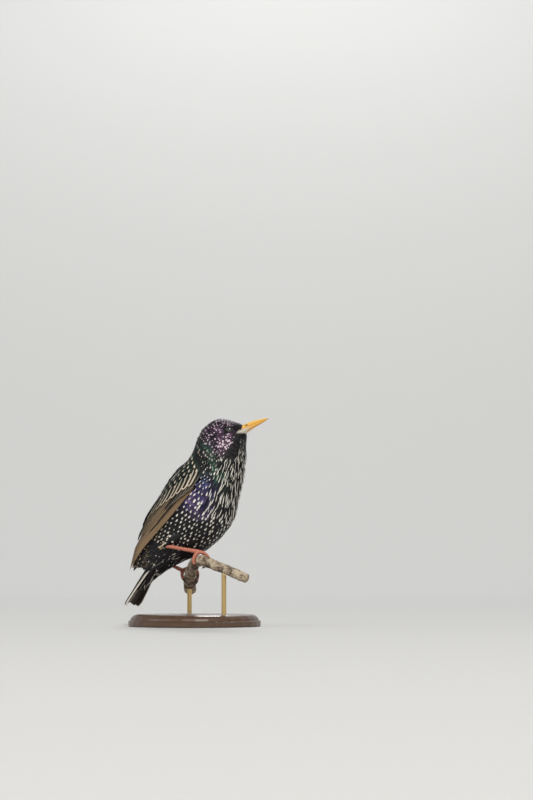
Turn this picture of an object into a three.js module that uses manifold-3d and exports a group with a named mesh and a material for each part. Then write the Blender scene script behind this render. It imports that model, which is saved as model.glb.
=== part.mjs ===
// A common starling in spotted winter plumage, life size, perched on a short cut length of branch
// that a small round museum stand carries. Millimetres, +Z up, the bird faces +X, its right side is -Y,
// and the origin is the centre of the underside of the stand's base.
import * as THREE from 'three';
import { mergeVertices } from 'three/addons/utils/BufferGeometryUtils.js';
import Module from 'manifold-3d';

const wasm = await Module();
wasm.setup();

// Driving dimensions
const GAP = 0.3; // air between two nodes that touch
const BODY_SIDES = 26;
const EGG = 0.1; // how much wider a body section is above its middle than below

// Body sections from the bill to the tail: back point x, z, front point x, z, half width.
const BODY = [
  [44.0, 169.8, 46.7, 163.2, 4.3],
  [40.8, 170.8, 46.3, 159.8, 6.3],
  [36.3, 172.3, 45.9, 155.5, 8.8],
  [29.9, 174.4, 45.6, 150.2, 11.0],
  [22.3, 175.3, 45.2, 144.0, 12.7],
  [14.5, 172.3, 44.3, 137.7, 14.0],
  [7.6, 166.3, 43.3, 132.0, 15.6],
  [3.2, 157.8, 42.2, 126.2, 17.9],
  [0.8, 147.0, 40.8, 119.5, 20.7],
  [-2.6, 137.6, 38.8, 112.0, 23.4],
  [-8.8, 130.4, 37.0, 103.5, 25.4],
  [-16.2, 122.0, 35.3, 94.5, 26.6],
  [-23.4, 112.6, 31.6, 86.0, 26.8],
  [-30.6, 102.8, 25.6, 78.0, 25.6],
  [-37.2, 93.2, 18.2, 70.6, 23.2],
  [-43.2, 83.8, 9.4, 64.0, 19.2],
  [-48.2, 74.8, -1.0, 58.8, 14.8],
  [-52.0, 66.0, -11.5, 54.6, 11.6],
  [-54.4, 58.0, -20.5, 50.4, 9.8],
  [-56.4, 50.6, -29.0, 45.6, 8.2],
  [-58.6, 42.6, -38.0, 38.4, 7.0],
  [-61.0, 33.0, -46.0, 29.0, 6.2],
];
const HEAD_END = 5.4; // where the head, neck, torso and rump meet, counted in sections
const NECK_END = 8.8;
const TORSO_END = 15.5;
const RUMP_END = 18.6;
const CUT = 0.02; // half a parting cut, counted in sections
const SMALLEST_EDGE = 0.02;
const MERGE = 0.001; // corners nearer than this would be read as one

const EYE = { x: 34.6, z: 164.6, side: 8.86, radius: 3.4 };
// A raised ring of lid, turned in degrees to face forwards and up as the head's side does there.
const LID = { x: 35.3, z: 165.4, side: 11.15, radius: 2.75, thickness: 0.5, forwards: 15.6, up: 17.8 };

// Bill sections from the corner of the mouth to the tip: x, z of the mouth line, height above it, depth below it, half width.
const BILL = [
  [39.4, 162.4, 1.6, 1.6, 6.6],
  [43.2, 164.8, 3.8, 3.7, 5.5],
  [47.6, 167.1, 3.7, 3.1, 3.8],
  [53.0, 169.5, 3.2, 2.4, 2.7],
  [58.5, 171.6, 2.3, 1.7, 1.9],
  [63.5, 173.5, 1.2, 0.9, 1.2],
  [66.6, 174.7, 0.3, 0.25, 0.35],
];
const NOSTRIL = { x: 47.4, z: 169.2, side: 3.5, long: 1.7, high: 0.6, deep: 1.2 };

// The folded wing, in millimetres along the body from the shoulder section, and up from the wing's lower edge.
const SHOULDER = 8; // the section that the wing's lengths are counted from
const WING_EDGE = [88, 86, 81, 76, 71, 64, 55, 43, 30]; // angle of the lower edge every 15 mm
const WING_EDGE_STEP = 15;
const VANE = 0.6; // thickness of a vane
const SHINGLE = 1.5; // how far a vane's lower edge stands above its upper edge
const PRIMARIES = { count: 6, root: 46, firstTip: 92, tipStep: 4, edge: 3.6, spread: 1.5, width: 7.6 };
const SECONDARIES = { count: 5, root: 20, firstTip: 82, tipStep: 1.2, edge: 8.2, spread: 2.9, width: 8.6 };
const TERTIALS = { count: 3, root: 30, firstTip: 68, tipStep: 8.5, edge: 23.5, spread: 3.6, width: 10.5 };
// Rows of coverts: where their tips run from and to, how far back and up their roots lie, and the first one's height.
const COVERTS = [
  { count: 9, from: [58, 18.5], to: [18, 3], length: 18, rise: 4.6, width: 5.6, lift: 2.0, drop: -0.3 },
  { count: 5, from: [47, 24], to: [12, 9.5], length: 13, rise: 3, width: 6.8, lift: 3.1, drop: 0.6 },
  { count: 3, from: [62, 32], to: [30, 26], length: 16, rise: 2, width: 8.5, lift: 3.6, drop: 0.8 },
];
const MIDLINE = 0.3; // how near the wing comes to the middle of the back
const DRAWN_IN = 0.8; // the share of the way there from which it is drawn together
const CLEAR = 0.4; // how far the wing stays off the body
const SETTLED = [0, 18]; // the wing lies close at its front and has its full height from here on

// Loose forms on the body: rows of roots in sections, degrees from the back, length, width and rise.
const HACKLES = {
  head: [{ t: 3.3, angles: [150, 168, 186, 204], length: 7, width: 3.2, rise: 0.9 }],
  neck: [
    { t: 5.6, angles: [138, 158, 180, 202, 222], length: 8, width: 3.4, rise: 1.0 },
    { t: 7.0, angles: [144, 163, 180, 197, 214], length: 8.5, width: 3.6, rise: 0.9 },
  ],
  torso: [{ t: 9.0, angles: [146, 169, 191, 214], length: 9, width: 3.8, rise: 0.6 }],
};
const TAIL_COVERTS = [
  { t: 16.4, angles: [124, 236], length: 20, width: 7, rise: 0.5 },
  { t: 16.8, angles: [150, 210], length: 23, width: 7, rise: 0.8 },
  { t: 17.3, angles: [180], length: 25, width: 7.5, rise: 1.5 },
];
const COVERT_DROOP = 0.8; // how far the tail coverts bend in to the tail past the end of the rump

// The tail, folded and turned a little about its own length
const TAIL = {
  root: [-39.5, 0, 54.5], tip: [-62.0, 0, 18.2], pairs: 6, width: 9.4, fan: 2.3, sideStep: 0.65,
  layer: 0.62, twist: 3, fork: 1.1, keel: 2.2,
};

// Legs: heel, ankle and the branch
const KNEE = { x: -1, z: 79, side: 15.5, radius: 8.6 };
const TARSUS = { top: 1.9, middle: 1.35, bottom: 1.75, scutes: 7, scuteStep: 0.16 };
const BRANCH = [
  [58.5, -31, 40.5],
  [44.0, -28, 46.0],
  [29.0, -24.5, 50.8],
  [15.5, -18.5, 55.0],
  [5.5, -8.5, 54.6],
  [-2.5, 2.5, 50.5],
  [-9.0, 14.0, 45.8],
  [-15.5, 27.5, 40.6],
  [-20.5, 39.0, 35.8],
  [-24.0, 49.0, 31.0],
];
const BRANCH_RADIUS = [3.9, 4.2, 4.3, 4.5, 4.7, 4.8, 4.9, 5.1, 5.3, 5.4];
const BRANCH_SIDES = 12;
// Where along the branch each foot grips, how far its ankle leans back off the top in degrees, and its heel.
const FEET = {
  right: { at: 0.4, side: -1, lean: -14, heel: [-21.6, -19.5, 68.6] },
  left: { at: 0.77, side: 1, lean: -48, heel: [-37, 18.5, 55.5] },
};

// Stand
const BASE = { x: 0, radius: 56, height: 10, rodRadius: 2 };
const RODS = [0.18, 0.9]; // where along the branch the two rods hold it

// Small tools

const rad = THREE.MathUtils.degToRad;
const lerp = THREE.MathUtils.lerp;
const V = (x, y, z) => new THREE.Vector3(x, y, z);

// Catmull-Rom through the rows of a table, column by column; t counts rows.
function row(table, t) {
  const i = Math.max(0, Math.min(table.length - 2, Math.floor(t)));
  const f = t - i;
  const at = (k) => table[Math.max(0, Math.min(table.length - 1, k))];
  return at(i).map((_, c) => {
    const [a, b, d, e] = [at(i - 1)[c], at(i)[c], at(i + 1)[c], at(i + 2)[c]];
    const curve = 2 * a - 5 * b + 4 * d - e;
    return b + 0.5 * f * (d - a + f * (curve + f * (3 * (b - d) + e - a)));
  });
}

// A closed surface through rings of points, capped at both ends.
function loft(rings) {
  const n = rings[0].length;
  const points = rings.flat();
  const index = [];
  for (let r = 0; r + 1 < rings.length; r++) {
    for (let k = 0; k < n; k++) {
      const a = r * n + k;
      const b = r * n + ((k + 1) % n);
      index.push(a, b, a + n, b, b + n, a + n);
    }
  }
  const last = (rings.length - 1) * n;
  for (let k = 1; k + 1 < n; k++) {
    index.push(0, k + 1, k, last, last + k, last + k + 1);
  }
  return new THREE.BufferGeometry().setFromPoints(points).setIndex(index);
}

// A closed, thin vane: each ring is left edge, shaft and right edge above, then the same below,
// and both faces are split into triangles alike.
function vaneSurface(rings) {
  const points = rings.flat();
  const index = [];
  const quad = (a, b, c, d) => index.push(a, b, c, a, c, d);
  for (let r = 0; r + 1 < rings.length; r++) {
    const o = r * 6;
    const p = o + 6;
    quad(o, o + 1, p + 1, p);
    quad(o + 1, o + 2, p + 2, p + 1);
    quad(o + 2, o + 5, p + 5, p + 2);
    index.push(o + 5, o + 4, p + 4, o + 5, p + 4, p + 5);
    index.push(o + 4, o + 3, p + 3, o + 4, p + 3, p + 4);
    quad(o + 3, o, p, p + 3);
  }
  const e = (rings.length - 1) * 6;
  quad(0, 3, 4, 1);
  quad(1, 4, 5, 2);
  quad(e, e + 1, e + 4, e + 3);
  quad(e + 1, e + 2, e + 5, e + 4);
  return new THREE.BufferGeometry().setFromPoints(points).setIndex(index);
}

function solid(geometry) {
  const bare = new THREE.BufferGeometry();
  bare.setAttribute('position', geometry.getAttribute('position'));
  bare.setIndex(geometry.index);
  const merged = mergeVertices(bare, 1e-4);
  const vertProperties = new Float32Array(merged.attributes.position.array);
  const triVerts = new Uint32Array(merged.index.array);
  const made = new wasm.Manifold(new wasm.Mesh({ numProp: 3, vertProperties, triVerts }));
  if (made.volume() > 0) return made;
  for (let i = 0; i < triVerts.length; i += 3) {
    [triVerts[i + 1], triVerts[i + 2]] = [triVerts[i + 2], triVerts[i + 1]];
  }
  return new wasm.Manifold(new wasm.Mesh({ numProp: 3, vertProperties, triVerts }));
}

const join = (pieces) => pieces.slice(1).reduce((all, piece) => all.add(piece), pieces[0]);

// The largest closed surface of a solid.
function largest(made) {
  return made.decompose().reduce((a, b) => (a.volume() > b.volume() ? a : b));
}

// Moves a corner a little way into the solid wherever two corners of a surface would be taken for one.
function partCorners(position, normal) {
  const taken = new Set();
  for (let i = 0; i < position.length; i += 3) {
    const key = () => [0, 1, 2].map((c) => Math.trunc(position[i + c] / MERGE + 0.5)).join();
    while (taken.has(key())) {
      for (const c of [0, 1, 2]) position[i + c] -= 10 * MERGE * normal[i + c];
    }
    taken.add(key());
  }
}

const group = new THREE.Group();

// A solid's surface as a geometry, with no two corners that would be read as one.
function geometryOf(made) {
  const mesh = made.getMesh();
  const stride = mesh.numProp;
  const position = new Float32Array(mesh.numVert * 3);
  for (let i = 0; i < mesh.numVert; i++) {
    position.set(mesh.vertProperties.subarray(i * stride, i * stride + 3), i * 3);
  }
  const geometry = new THREE.BufferGeometry();
  geometry.setAttribute('position', new THREE.BufferAttribute(position, 3));
  geometry.setIndex(new THREE.BufferAttribute(mesh.triVerts, 1));
  geometry.computeVertexNormals();
  partCorners(position, geometry.getAttribute('normal').array);
  return geometry;
}

function addNode(name, made, colour, roughness = 0.6, metalness = 0) {
  const whole = largest(largest(made).simplify(SMALLEST_EDGE));
  // Parting the corners can open a sealed pocket again, so the largest surface is taken once more.
  const geometry = geometryOf(largest(solid(geometryOf(whole))));
  const material = new THREE.MeshStandardMaterial({ color: colour, roughness, metalness });
  const node = new THREE.Mesh(geometry, material);
  node.name = name;
  group.add(node);
}

// The body

// A point on the body's surface: t counts sections, angle turns from the back (0) over the side, and lift is off the surface.
function onBody(t, angle, side, lift = 0) {
  const [bx, bz, fx, fz, halfWidth] = row(BODY, t);
  const middle = V((bx + fx) / 2, 0, (bz + fz) / 2);
  const up = V(bx - fx, 0, bz - fz).multiplyScalar(0.5);
  const halfDepth = up.length();
  up.normalize();
  const c = Math.cos(angle);
  const s = Math.sin(angle);
  const wide = halfWidth * s * (1 + EGG * c);
  const out = V(0, (side * s) / halfWidth, 0).addScaledVector(up, c / halfDepth).normalize();
  return middle.addScaledVector(up, halfDepth * c).add(V(0, side * wide, 0)).addScaledVector(out, lift);
}

function bodyRing(t, lift, sides = BODY_SIDES) {
  return Array.from({ length: sides }, (_, k) => onBody(t, (k / sides) * 2 * Math.PI, 1, lift));
}

function bodyStretch(from, to, steps, lift = 0) {
  const rings = [];
  for (let k = 0; k <= steps; k++) rings.push(bodyRing(lerp(from, to, k / steps), lift));
  return solid(loft(rings));
}

// Half of a feather's width along its length: narrow at the root, full in the middle, round at the tip.
function featherShape(u) {
  const round = Math.max(0.02, 1 - Math.max(0, (u - 0.62) / 0.38) ** 2.2);
  return Math.sqrt(round) * (0.62 + 0.38 * Math.min(1, u / 0.35));
}

// Half of a throat feather's width: lanceolate, running out to a narrow tip.
const lanceolate = (u) => Math.max(0.12, (1 - u) ** 0.8 * (0.7 + 0.6 * Math.min(1, u / 0.3)));

// Vanes rooted in the body in rows, lying along it towards the tail.
function bodyVanes(rowsOfVanes, shape, steps = 3) {
  const made = [];
  for (const { t, angles, length, width, rise } of rowsOfVanes) {
    for (const degrees of angles) {
      const angle = rad(degrees);
      const here = onBody(t, angle, 1);
      const perSection = onBody(t + 0.5, angle, 1).distanceTo(here) * 2;
      const perRadian = onBody(t, angle + 0.05, 1).distanceTo(here) / 0.05;
      const rings = [];
      for (let k = 0; k <= steps; k++) {
        const u = k / steps;
        const at = t + (u * length) / perSection;
        const half = ((width / 2) * shape(u)) / perRadian;
        const lift = lerp(-1, rise, Math.min(1, u / 0.4)) - COVERT_DROOP * Math.max(0, at - RUMP_END) ** 2;
        rings.push([VANE, 0].flatMap((thick) => [-1, 0, 1].map((e) =>
          onBody(at, angle + e * half, 1, lift + thick + (e === 0 ? 0.15 : 0)))));
      }
      made.push(solid(vaneSurface(rings)));
    }
  }
  return made;
}

// A round, tapering limb through points with radii, with n sides and a flat end at each end.
function limb(points, radii, sides, steps, squash = 1) {
  const curve = new THREE.CatmullRomCurve3(points);
  const rings = [];
  for (let k = 0; k <= steps; k++) {
    const u = k / steps;
    const at = curve.getPoint(u);
    const along = curve.getTangent(u);
    const across = V(0, 1, 0).addScaledVector(along, -along.y).normalize();
    const up = across.clone().cross(along).normalize();
    const radius = row(radii.map((r) => [r]), u * (radii.length - 1))[0];
    rings.push(Array.from({ length: sides }, (_, i) => {
      const a = (i / sides) * 2 * Math.PI;
      return at.clone().addScaledVector(across, radius * Math.cos(a)).addScaledVector(up, radius * squash * Math.sin(a));
    }));
  }
  return solid(loft(rings));
}

function ball(x, y, z, radius, across = 14, high = 10) {
  return solid(new THREE.SphereGeometry(radius, across, high).translate(x, y, z));
}

// Head, with a socket and a raised lid round each eye
function billSolid(part, lift) {
  const rings = BILL.map((_, i) => {
    const [x, z, above, below, halfWidth] = BILL[i];
    const [nx, nz] = BILL[Math.min(i + 1, BILL.length - 1)];
    const [px, pz] = BILL[Math.max(i - 1, 0)];
    const along = V(nx - px, 0, nz - pz).normalize();
    const up = V(-along.z, 0, along.x);
    const from = part === 'lower' ? 180 : 0;
    const to = part === 'upper' ? 180 : 360;
    const shift = part === 'upper' ? GAP / 2 : part === 'lower' ? -GAP / 2 : 0;
    const count = part === 'both' ? 16 : 9;
    const start = V(x, 0, z).addScaledVector(along, i === 0 ? -lift : 0);
    return Array.from({ length: count }, (_, k) => {
      const a = rad(lerp(from, to, part === 'both' ? k / count : k / (count - 1)));
      const rise = Math.sin(a) * ((Math.sin(a) > 0 ? above : below) + lift) + shift;
      return start.clone().add(V(0, Math.cos(a) * (halfWidth + lift), 0)).addScaledVector(up, rise);
    });
  });
  return solid(loft(rings));
}

function lid(side) {
  const ring = new THREE.TorusGeometry(LID.radius, LID.thickness, 4, 12);
  ring.rotateX(Math.PI / 2).scale(1.06, 1, 0.95);
  ring.rotateZ(-side * rad(LID.forwards)).rotateX(side * rad(LID.up));
  return solid(ring.translate(LID.x, side * LID.side, LID.z));
}

let head = bodyStretch(0, HEAD_END - CUT, 10);
head = join([head, lid(-1), lid(1), ...bodyVanes(HACKLES.head, lanceolate)]);
for (const side of [-1, 1]) {
  head = head.subtract(ball(EYE.x, side * EYE.side, EYE.z, EYE.radius + GAP, 14, 9));
}
head = head.subtract(billSolid('both', GAP));
addNode('head', head, 0x16131c);

let upperBill = billSolid('upper', 0);
for (const side of [-1, 1]) {
  const nostril = new THREE.SphereGeometry(1, 8, 5).scale(NOSTRIL.long, NOSTRIL.deep, NOSTRIL.high);
  nostril.rotateY(rad(-20)).translate(NOSTRIL.x, side * NOSTRIL.side, NOSTRIL.z);
  upperBill = upperBill.subtract(solid(nostril));
}
addNode('bill_upper', upperBill, 0xe8b62c, 0.35);
addNode('bill_lower', billSolid('lower', 0), 0xd9962a, 0.35);

for (const [name, side] of [['right', -1], ['left', 1]]) {
  addNode(`eye_${name}`, ball(EYE.x, side * EYE.side, EYE.z, EYE.radius), 0x120d0a, 0.05);
}

// Neck, torso and rump
addNode('neck', join([bodyStretch(HEAD_END + CUT, NECK_END - CUT, 8), ...bodyVanes(HACKLES.neck, lanceolate)]), 0x1b1f26);
addNode('torso', join([bodyStretch(NECK_END + CUT, TORSO_END - CUT, 15), ...bodyVanes(HACKLES.torso, lanceolate)]), 0x14161a);
const rump = join([bodyStretch(TORSO_END + CUT, RUMP_END, 7), ...bodyVanes(TAIL_COVERTS, featherShape)]);
addNode('rump', rump, 0x15171a);

// Wings

// Sections of the body at equal steps along its middle, so that a length in mm gives a section.
const STATION_STEP = 0.05;
const stations = [];
for (let t = SHOULDER; t < BODY.length - 1; t += STATION_STEP) {
  const [bx, bz, fx, fz] = row(BODY, t);
  const middle = V((bx + fx) / 2, 0, (bz + fz) / 2);
  const before = stations[stations.length - 1];
  stations.push({ t, middle, mm: before ? before.mm + middle.distanceTo(before.middle) : 0 });
}

function sectionAt(mm) {
  if (mm < 0) return SHOULDER + mm / (stations[20].mm - stations[0].mm);
  const i = stations.findIndex((s) => s.mm > mm);
  if (i < 1) return stations[stations.length - 1].t;
  return lerp(stations[i - 1].t, stations[i].t, (mm - stations[i - 1].mm) / (stations[i].mm - stations[i - 1].mm));
}

// A point on the wing: mm along the body, q mm up from the wing's lower edge, lift above the body's skin.
// Towards the middle of the back the wing is drawn together, and at its front it lies close to the body.
function onWing(mm, q, side, lift, thick = 0) {
  const t = sectionAt(mm);
  const [bx, bz, fx, fz, halfWidth] = row(BODY, t);
  const meanRadius = (halfWidth + Math.hypot(bx - fx, bz - fz) / 2) / 2 + 1;
  const edge = row(WING_EDGE.map((a) => [a]), Math.max(0, mm) / WING_EDGE_STEP)[0];
  const room = rad(edge) * meanRadius - MIDLINE;
  const free = room * DRAWN_IN;
  const kept = q < free ? q : free + (room - free) * (1 - Math.exp((free - q) / (room - free)));
  const settled = lerp(0.2, 1, THREE.MathUtils.smoothstep(mm, ...SETTLED));
  return onBody(t, rad(edge) - kept / meanRadius, side, CLEAR + (lift - CLEAR) * settled + thick);
}

// A feather laid on the wing from a root to a tip, each { mm, q, lift }, its lower edge raised over the next one.
function wingVane(root, tip, width, side, steps = 4, shingle = SHINGLE) {
  const rings = [];
  for (let k = 0; k <= steps; k++) {
    const u = 1 - (1 - k / steps) ** 1.35;
    const mm = lerp(root.mm, tip.mm, u);
    const q = lerp(root.q, tip.q, u);
    const lift = lerp(root.lift, tip.lift, u);
    const half = (width / 2) * featherShape(u);
    const ring = [];
    for (const thick of [VANE, 0]) {
      for (const e of [-1, 0, 1]) {
        const slope = shingle * (0.5 - (e * half) / width);
        ring.push(onWing(mm, q + e * half, side, lift + slope, thick + (e === 0 ? 0.18 : 0)));
      }
    }
    rings.push(ring);
  }
  return solid(vaneSurface(rings));
}

// The wing's own flesh and scapulars: a shallow shield under the feathers.
function wingShield(side) {
  const SPAN = 6;
  const rings = [];
  for (let mm = -3; mm <= 93; mm += 12) {
    const u = (mm + 3) / 96;
    const low = 2.2 + 6 * Math.max(0, u - 0.7);
    const high = lerp(31, 33, Math.min(1, u * 3)) * (u < 0.55 ? 1 : 1 - 0.62 * (u - 0.55) / 0.45);
    const crown = 1.1 + 3.1 * Math.sin(Math.PI * Math.min(1, u * 1.35 + 0.12)) ** 1.5 * (u < 0.66 ? 1 : 0.15);
    const top = [];
    const bottom = [];
    for (let k = 0; k <= SPAN; k++) {
      const v = k / SPAN;
      const q = lerp(low, high, v);
      top.push(onWing(mm, q, side, 0.6 + crown * Math.sin(Math.PI * v) ** 0.8, 0.5));
      bottom.unshift(onWing(mm, q, side, 0.6));
    }
    rings.push([...top, ...bottom]);
  }
  return solid(loft(rings));
}

function wing(side) {
  const pieces = [wingShield(side)];
  for (let i = 0; i < PRIMARIES.count; i++) {
    const inner = PRIMARIES.count - 1 - i;
    const q = PRIMARIES.edge + inner * PRIMARIES.spread;
    const lift = 0.6 + 0.1 * inner;
    const tip = PRIMARIES.firstTip + i * PRIMARIES.tipStep;
    pieces.push(wingVane({ mm: PRIMARIES.root, q, lift }, { mm: tip, q: q * 0.86, lift }, PRIMARIES.width, side));
  }
  for (let i = 0; i < SECONDARIES.count; i++) {
    const inner = SECONDARIES.count - 1 - i;
    const q = SECONDARIES.edge + inner * SECONDARIES.spread;
    const lift = 0.9 + 0.06 * inner;
    const tip = SECONDARIES.firstTip - inner * SECONDARIES.tipStep;
    pieces.push(wingVane({ mm: SECONDARIES.root, q, lift }, { mm: tip, q: q * 0.97, lift }, SECONDARIES.width, side));
  }
  for (let i = 0; i < TERTIALS.count; i++) {
    const q = TERTIALS.edge + (TERTIALS.count - 1 - i) * TERTIALS.spread;
    const tip = TERTIALS.firstTip + i * TERTIALS.tipStep;
    pieces.push(wingVane({ mm: TERTIALS.root, q, lift: 1.9 }, { mm: tip, q: q - 1.5, lift: 1.3 }, TERTIALS.width, side));
  }
  for (const { count, from, to, length, rise, width, lift, drop } of COVERTS) {
    for (let i = 0; i < count; i++) {
      const v = i / (count - 1);
      const tip = { mm: lerp(from[0], to[0], v), q: lerp(from[1], to[1], v), lift };
      const root = { mm: tip.mm - length, q: tip.q + rise, lift: lift - drop };
      pieces.push(wingVane(root, tip, width, side, 3));
    }
  }
  return join(pieces);
}

addNode('wing_right', wing(-1), 0x6d5a45);
addNode('wing_left', wing(1), 0x6d5a45);

// Tail
const tailRoot = V(...TAIL.root);
const tailAlong = V(...TAIL.tip).sub(tailRoot);
const tailLength = tailAlong.length();
tailAlong.normalize();
const tailTwist = new THREE.Quaternion().setFromAxisAngle(tailAlong, rad(TAIL.twist));
const tailAcross = V(0, 1, 0).applyQuaternion(tailTwist);
const tailUp = tailAcross.clone().cross(tailAlong).normalize();

// A flat feather from a point in the tail's own frame: across, out along and up.
function tailVane(across, up, angle, length, width, droop = 0, steps = 3) {
  const rings = [];
  for (let k = 0; k <= steps; k++) {
    const u = 1 - (1 - k / steps) ** 1.3;
    const out = u * length;
    const half = (width / 2) * Math.sqrt(Math.max(0.03, 1 - Math.max(0, (u - 0.84) / 0.16) ** 2)) * lerp(0.5, 1, Math.min(1, u * 1.6));
    const ring = [];
    for (const thick of [VANE, 0]) {
      for (const e of [-1, 0, 1]) {
        const x = across + Math.sin(angle) * out + e * half;
        const y = Math.cos(angle) * out;
        const z = up + thick - droop * u * u + (e === 0 ? 0.18 : 0);
        ring.push(tailRoot.clone().addScaledVector(tailAcross, x).addScaledVector(tailAlong, y).addScaledVector(tailUp, z));
      }
    }
    rings.push(ring);
  }
  return solid(vaneSurface(rings));
}

const tailPieces = [];
for (let pair = 0; pair < TAIL.pairs; pair++) {
  for (const side of [-1, 1]) {
    const angle = rad(side * (pair + 0.35) * TAIL.fan * 0.72);
    const length = tailLength - TAIL.fork * Math.abs(TAIL.pairs - 2 - pair) * 0.6;
    const up = -pair * TAIL.layer + (side > 0 ? 0.2 : 0);
    tailPieces.push(tailVane(side * (pair + 0.5) * TAIL.sideStep, up, angle, length, TAIL.width));
  }
}
const rumpRoom = bodyStretch(TORSO_END, RUMP_END + 0.04, 8, GAP);
addNode('tail', join(tailPieces).subtract(rumpRoom), 0x2b2722);

// Perch: a cut length of branch, with the cuts square to it
const branchCurve = new THREE.CatmullRomCurve3(BRANCH.map((p) => V(...p)));

// A point round the branch: u along it, angle from its top towards the bird's front, radius from its middle.
function roundBranch(u, angle, radius) {
  const along = branchCurve.getTangentAt(u);
  const up = V(0, 0, 1).addScaledVector(along, -along.z).normalize();
  const front = along.clone().cross(up).normalize();
  if (front.x < 0) front.negate();
  return branchCurve.getPointAt(u).addScaledVector(up, radius * Math.cos(angle)).addScaledVector(front, radius * Math.sin(angle));
}

const branchRadius = (u) => row(BRANCH_RADIUS.map((r) => [r]), u * (BRANCH_RADIUS.length - 1))[0];

function branchSolid(lift) {
  const rings = [];
  const STEPS = 22;
  for (let k = 0; k <= STEPS; k++) {
    const u = k / STEPS;
    const knot = 0.35 * Math.max(0, Math.cos(u * 38)) ** 6 * (u < 0.36 || u > 0.82 ? 1 : 0);
    rings.push(Array.from({ length: BRANCH_SIDES }, (_, i) =>
      roundBranch(u, (i / BRANCH_SIDES) * 2 * Math.PI, branchRadius(u) + knot + lift)));
  }
  return solid(loft(rings));
}

addNode('perch_branch', branchSolid(0), 0x8d7a63, 0.9);
const branchRoom = branchSolid(GAP);

// Legs
const TOES = [ // spread along the branch in mm, angle reached round it, thickness
  { name: 'hind', spread: 1, reach: -118, radius: 1.45 },
  { name: 'inner', spread: 6.5, reach: 104, radius: 1.2 },
  { name: 'middle', spread: 0.5, reach: 124, radius: 1.3 },
  { name: 'outer', spread: -6, reach: 106, radius: 1.2 },
];
const TOE_LIFT = 0.45; // air between toe and branch
const CLAW = { reach: 40, gap: 6, root: 0.95, tip: 0.22 };

for (const [name, { at, side, lean, heel: heelPoint }] of Object.entries(FEET)) {
  const length = branchCurve.getLength();
  const ankle = roundBranch(at, rad(lean), branchRadius(at) + 3.6);
  const heel = V(...heelPoint);
  const knee = V(KNEE.x, side * KNEE.side, KNEE.z);
  const toHeel = heel.clone().sub(ankle).normalize();
  const thighEnd = heel.clone().addScaledVector(toHeel, -GAP - 1.2);
  const thigh = limb([knee, knee.clone().lerp(heel, 0.55).add(V(0, 0, 1)), thighEnd], [KNEE.radius, 6.2, 2.6], 12, 8);
  const torsoRoom = bodyStretch(NECK_END, TORSO_END, 15, GAP).add(bodyStretch(TORSO_END, RUMP_END, 8, GAP));
  const tarsusRings = 2 * TARSUS.scutes + 1;
  const radii = Array.from({ length: tarsusRings }, (_, k) => {
    const u = k / (tarsusRings - 1);
    const smooth = u < 0.5 ? lerp(TARSUS.top, TARSUS.middle, u * 2) : lerp(TARSUS.middle, TARSUS.bottom, u * 2 - 1);
    return smooth + (k % 2 ? TARSUS.scuteStep : 0);
  });
  const tarsusTop = heel.clone().addScaledVector(toHeel, 1.4);
  const tarsus = limb([tarsusTop, heel.clone().lerp(ankle, 0.5).add(V(0, 0, -0.5)), ankle], radii, 8, tarsusRings - 1);
  const tarsusRoom = limb([tarsusTop, heel.clone().lerp(ankle, 0.5), ankle], [TARSUS.top + GAP + 0.4, TARSUS.top + GAP + 0.4], 10, 6);
  addNode(`thigh_${name}`, thigh.subtract(torsoRoom).subtract(tarsusRoom), 0x191a1c);

  const toes = [solid(new THREE.SphereGeometry(2.6, 10, 7)).translate([ankle.x, ankle.y, ankle.z - 0.8])];
  for (const toe of TOES) {
    const start = rad(Math.sign(toe.reach) * 4 + lean);
    const path = (angle, lift, share) => roundBranch(at - (side * toe.spread * share) / length, angle, branchRadius(at) + lift);
    const points = [ankle.clone().add(V(0, 0, -0.8))];
    const radii2 = [toe.radius + 0.35];
    for (let k = 1; k <= 6; k++) {
      const share = k / 6;
      const angle = lerp(start, rad(toe.reach), share);
      points.push(path(angle, TOE_LIFT + toe.radius + 0.1 + 1.4 * (1 - share) ** 3, share));
      radii2.push(toe.radius * (1 - 0.22 * share) + (k % 2 ? 0.14 : 0));
    }
    toes.push(limb(points, radii2, 6, 8));
    const turn = Math.sign(toe.reach);
    const clawPoints = [0, 0.5, 1].map((v) =>
      path(rad(toe.reach + turn * (CLAW.gap + CLAW.reach * v)), TOE_LIFT + toe.radius + 0.5 * v, 1));
    addNode(`claw_${name}_${toe.name}`, limb(clawPoints, [CLAW.root, 0.7, CLAW.tip], 6, 4).subtract(branchRoom), 0x3a2f2a, 0.4);
  }
  const foot = join(toes).subtract(branchRoom);
  addNode(`foot_${name}`, foot, 0xc8543c, 0.5);
  const ankleRoom = ball(ankle.x, ankle.y, ankle.z - 0.8, 3 + GAP, 12, 8);
  addNode(`tarsus_${name}`, tarsus.subtract(ankleRoom).subtract(torsoRoom), 0xc8543c, 0.5);
}

// Stand: a turned base and two rods
const profile = [[0, 0], [BASE.radius - 1, 0], [BASE.radius, 1], [BASE.radius, 4.6], [BASE.radius - 1.6, 5.4],
  [BASE.radius - 2.2, 7.2], [BASE.radius - 4.6, 9.2], [BASE.radius - 7, BASE.height], [0, BASE.height]];
const base = new THREE.LatheGeometry(profile.map((p) => new THREE.Vector2(...p)), 32);
addNode('stand_base', solid(base.rotateX(Math.PI / 2).translate(BASE.x, 0, 0)), 0x3b2a1e, 0.45);

RODS.forEach((u, i) => {
  const at = branchCurve.getPointAt(u);
  const bottom = BASE.height + GAP;
  const rod = new THREE.CylinderGeometry(BASE.rodRadius, BASE.rodRadius, at.z - bottom, 16);
  rod.rotateX(Math.PI / 2).translate(at.x, at.y, (at.z + bottom) / 2);
  addNode(`stand_rod_${i + 1}`, solid(rod).subtract(branchRoom), 0xb08d57, 0.3, 1);
});

export default group;
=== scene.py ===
import math

import bpy
import numpy as np
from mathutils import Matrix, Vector, noise


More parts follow.
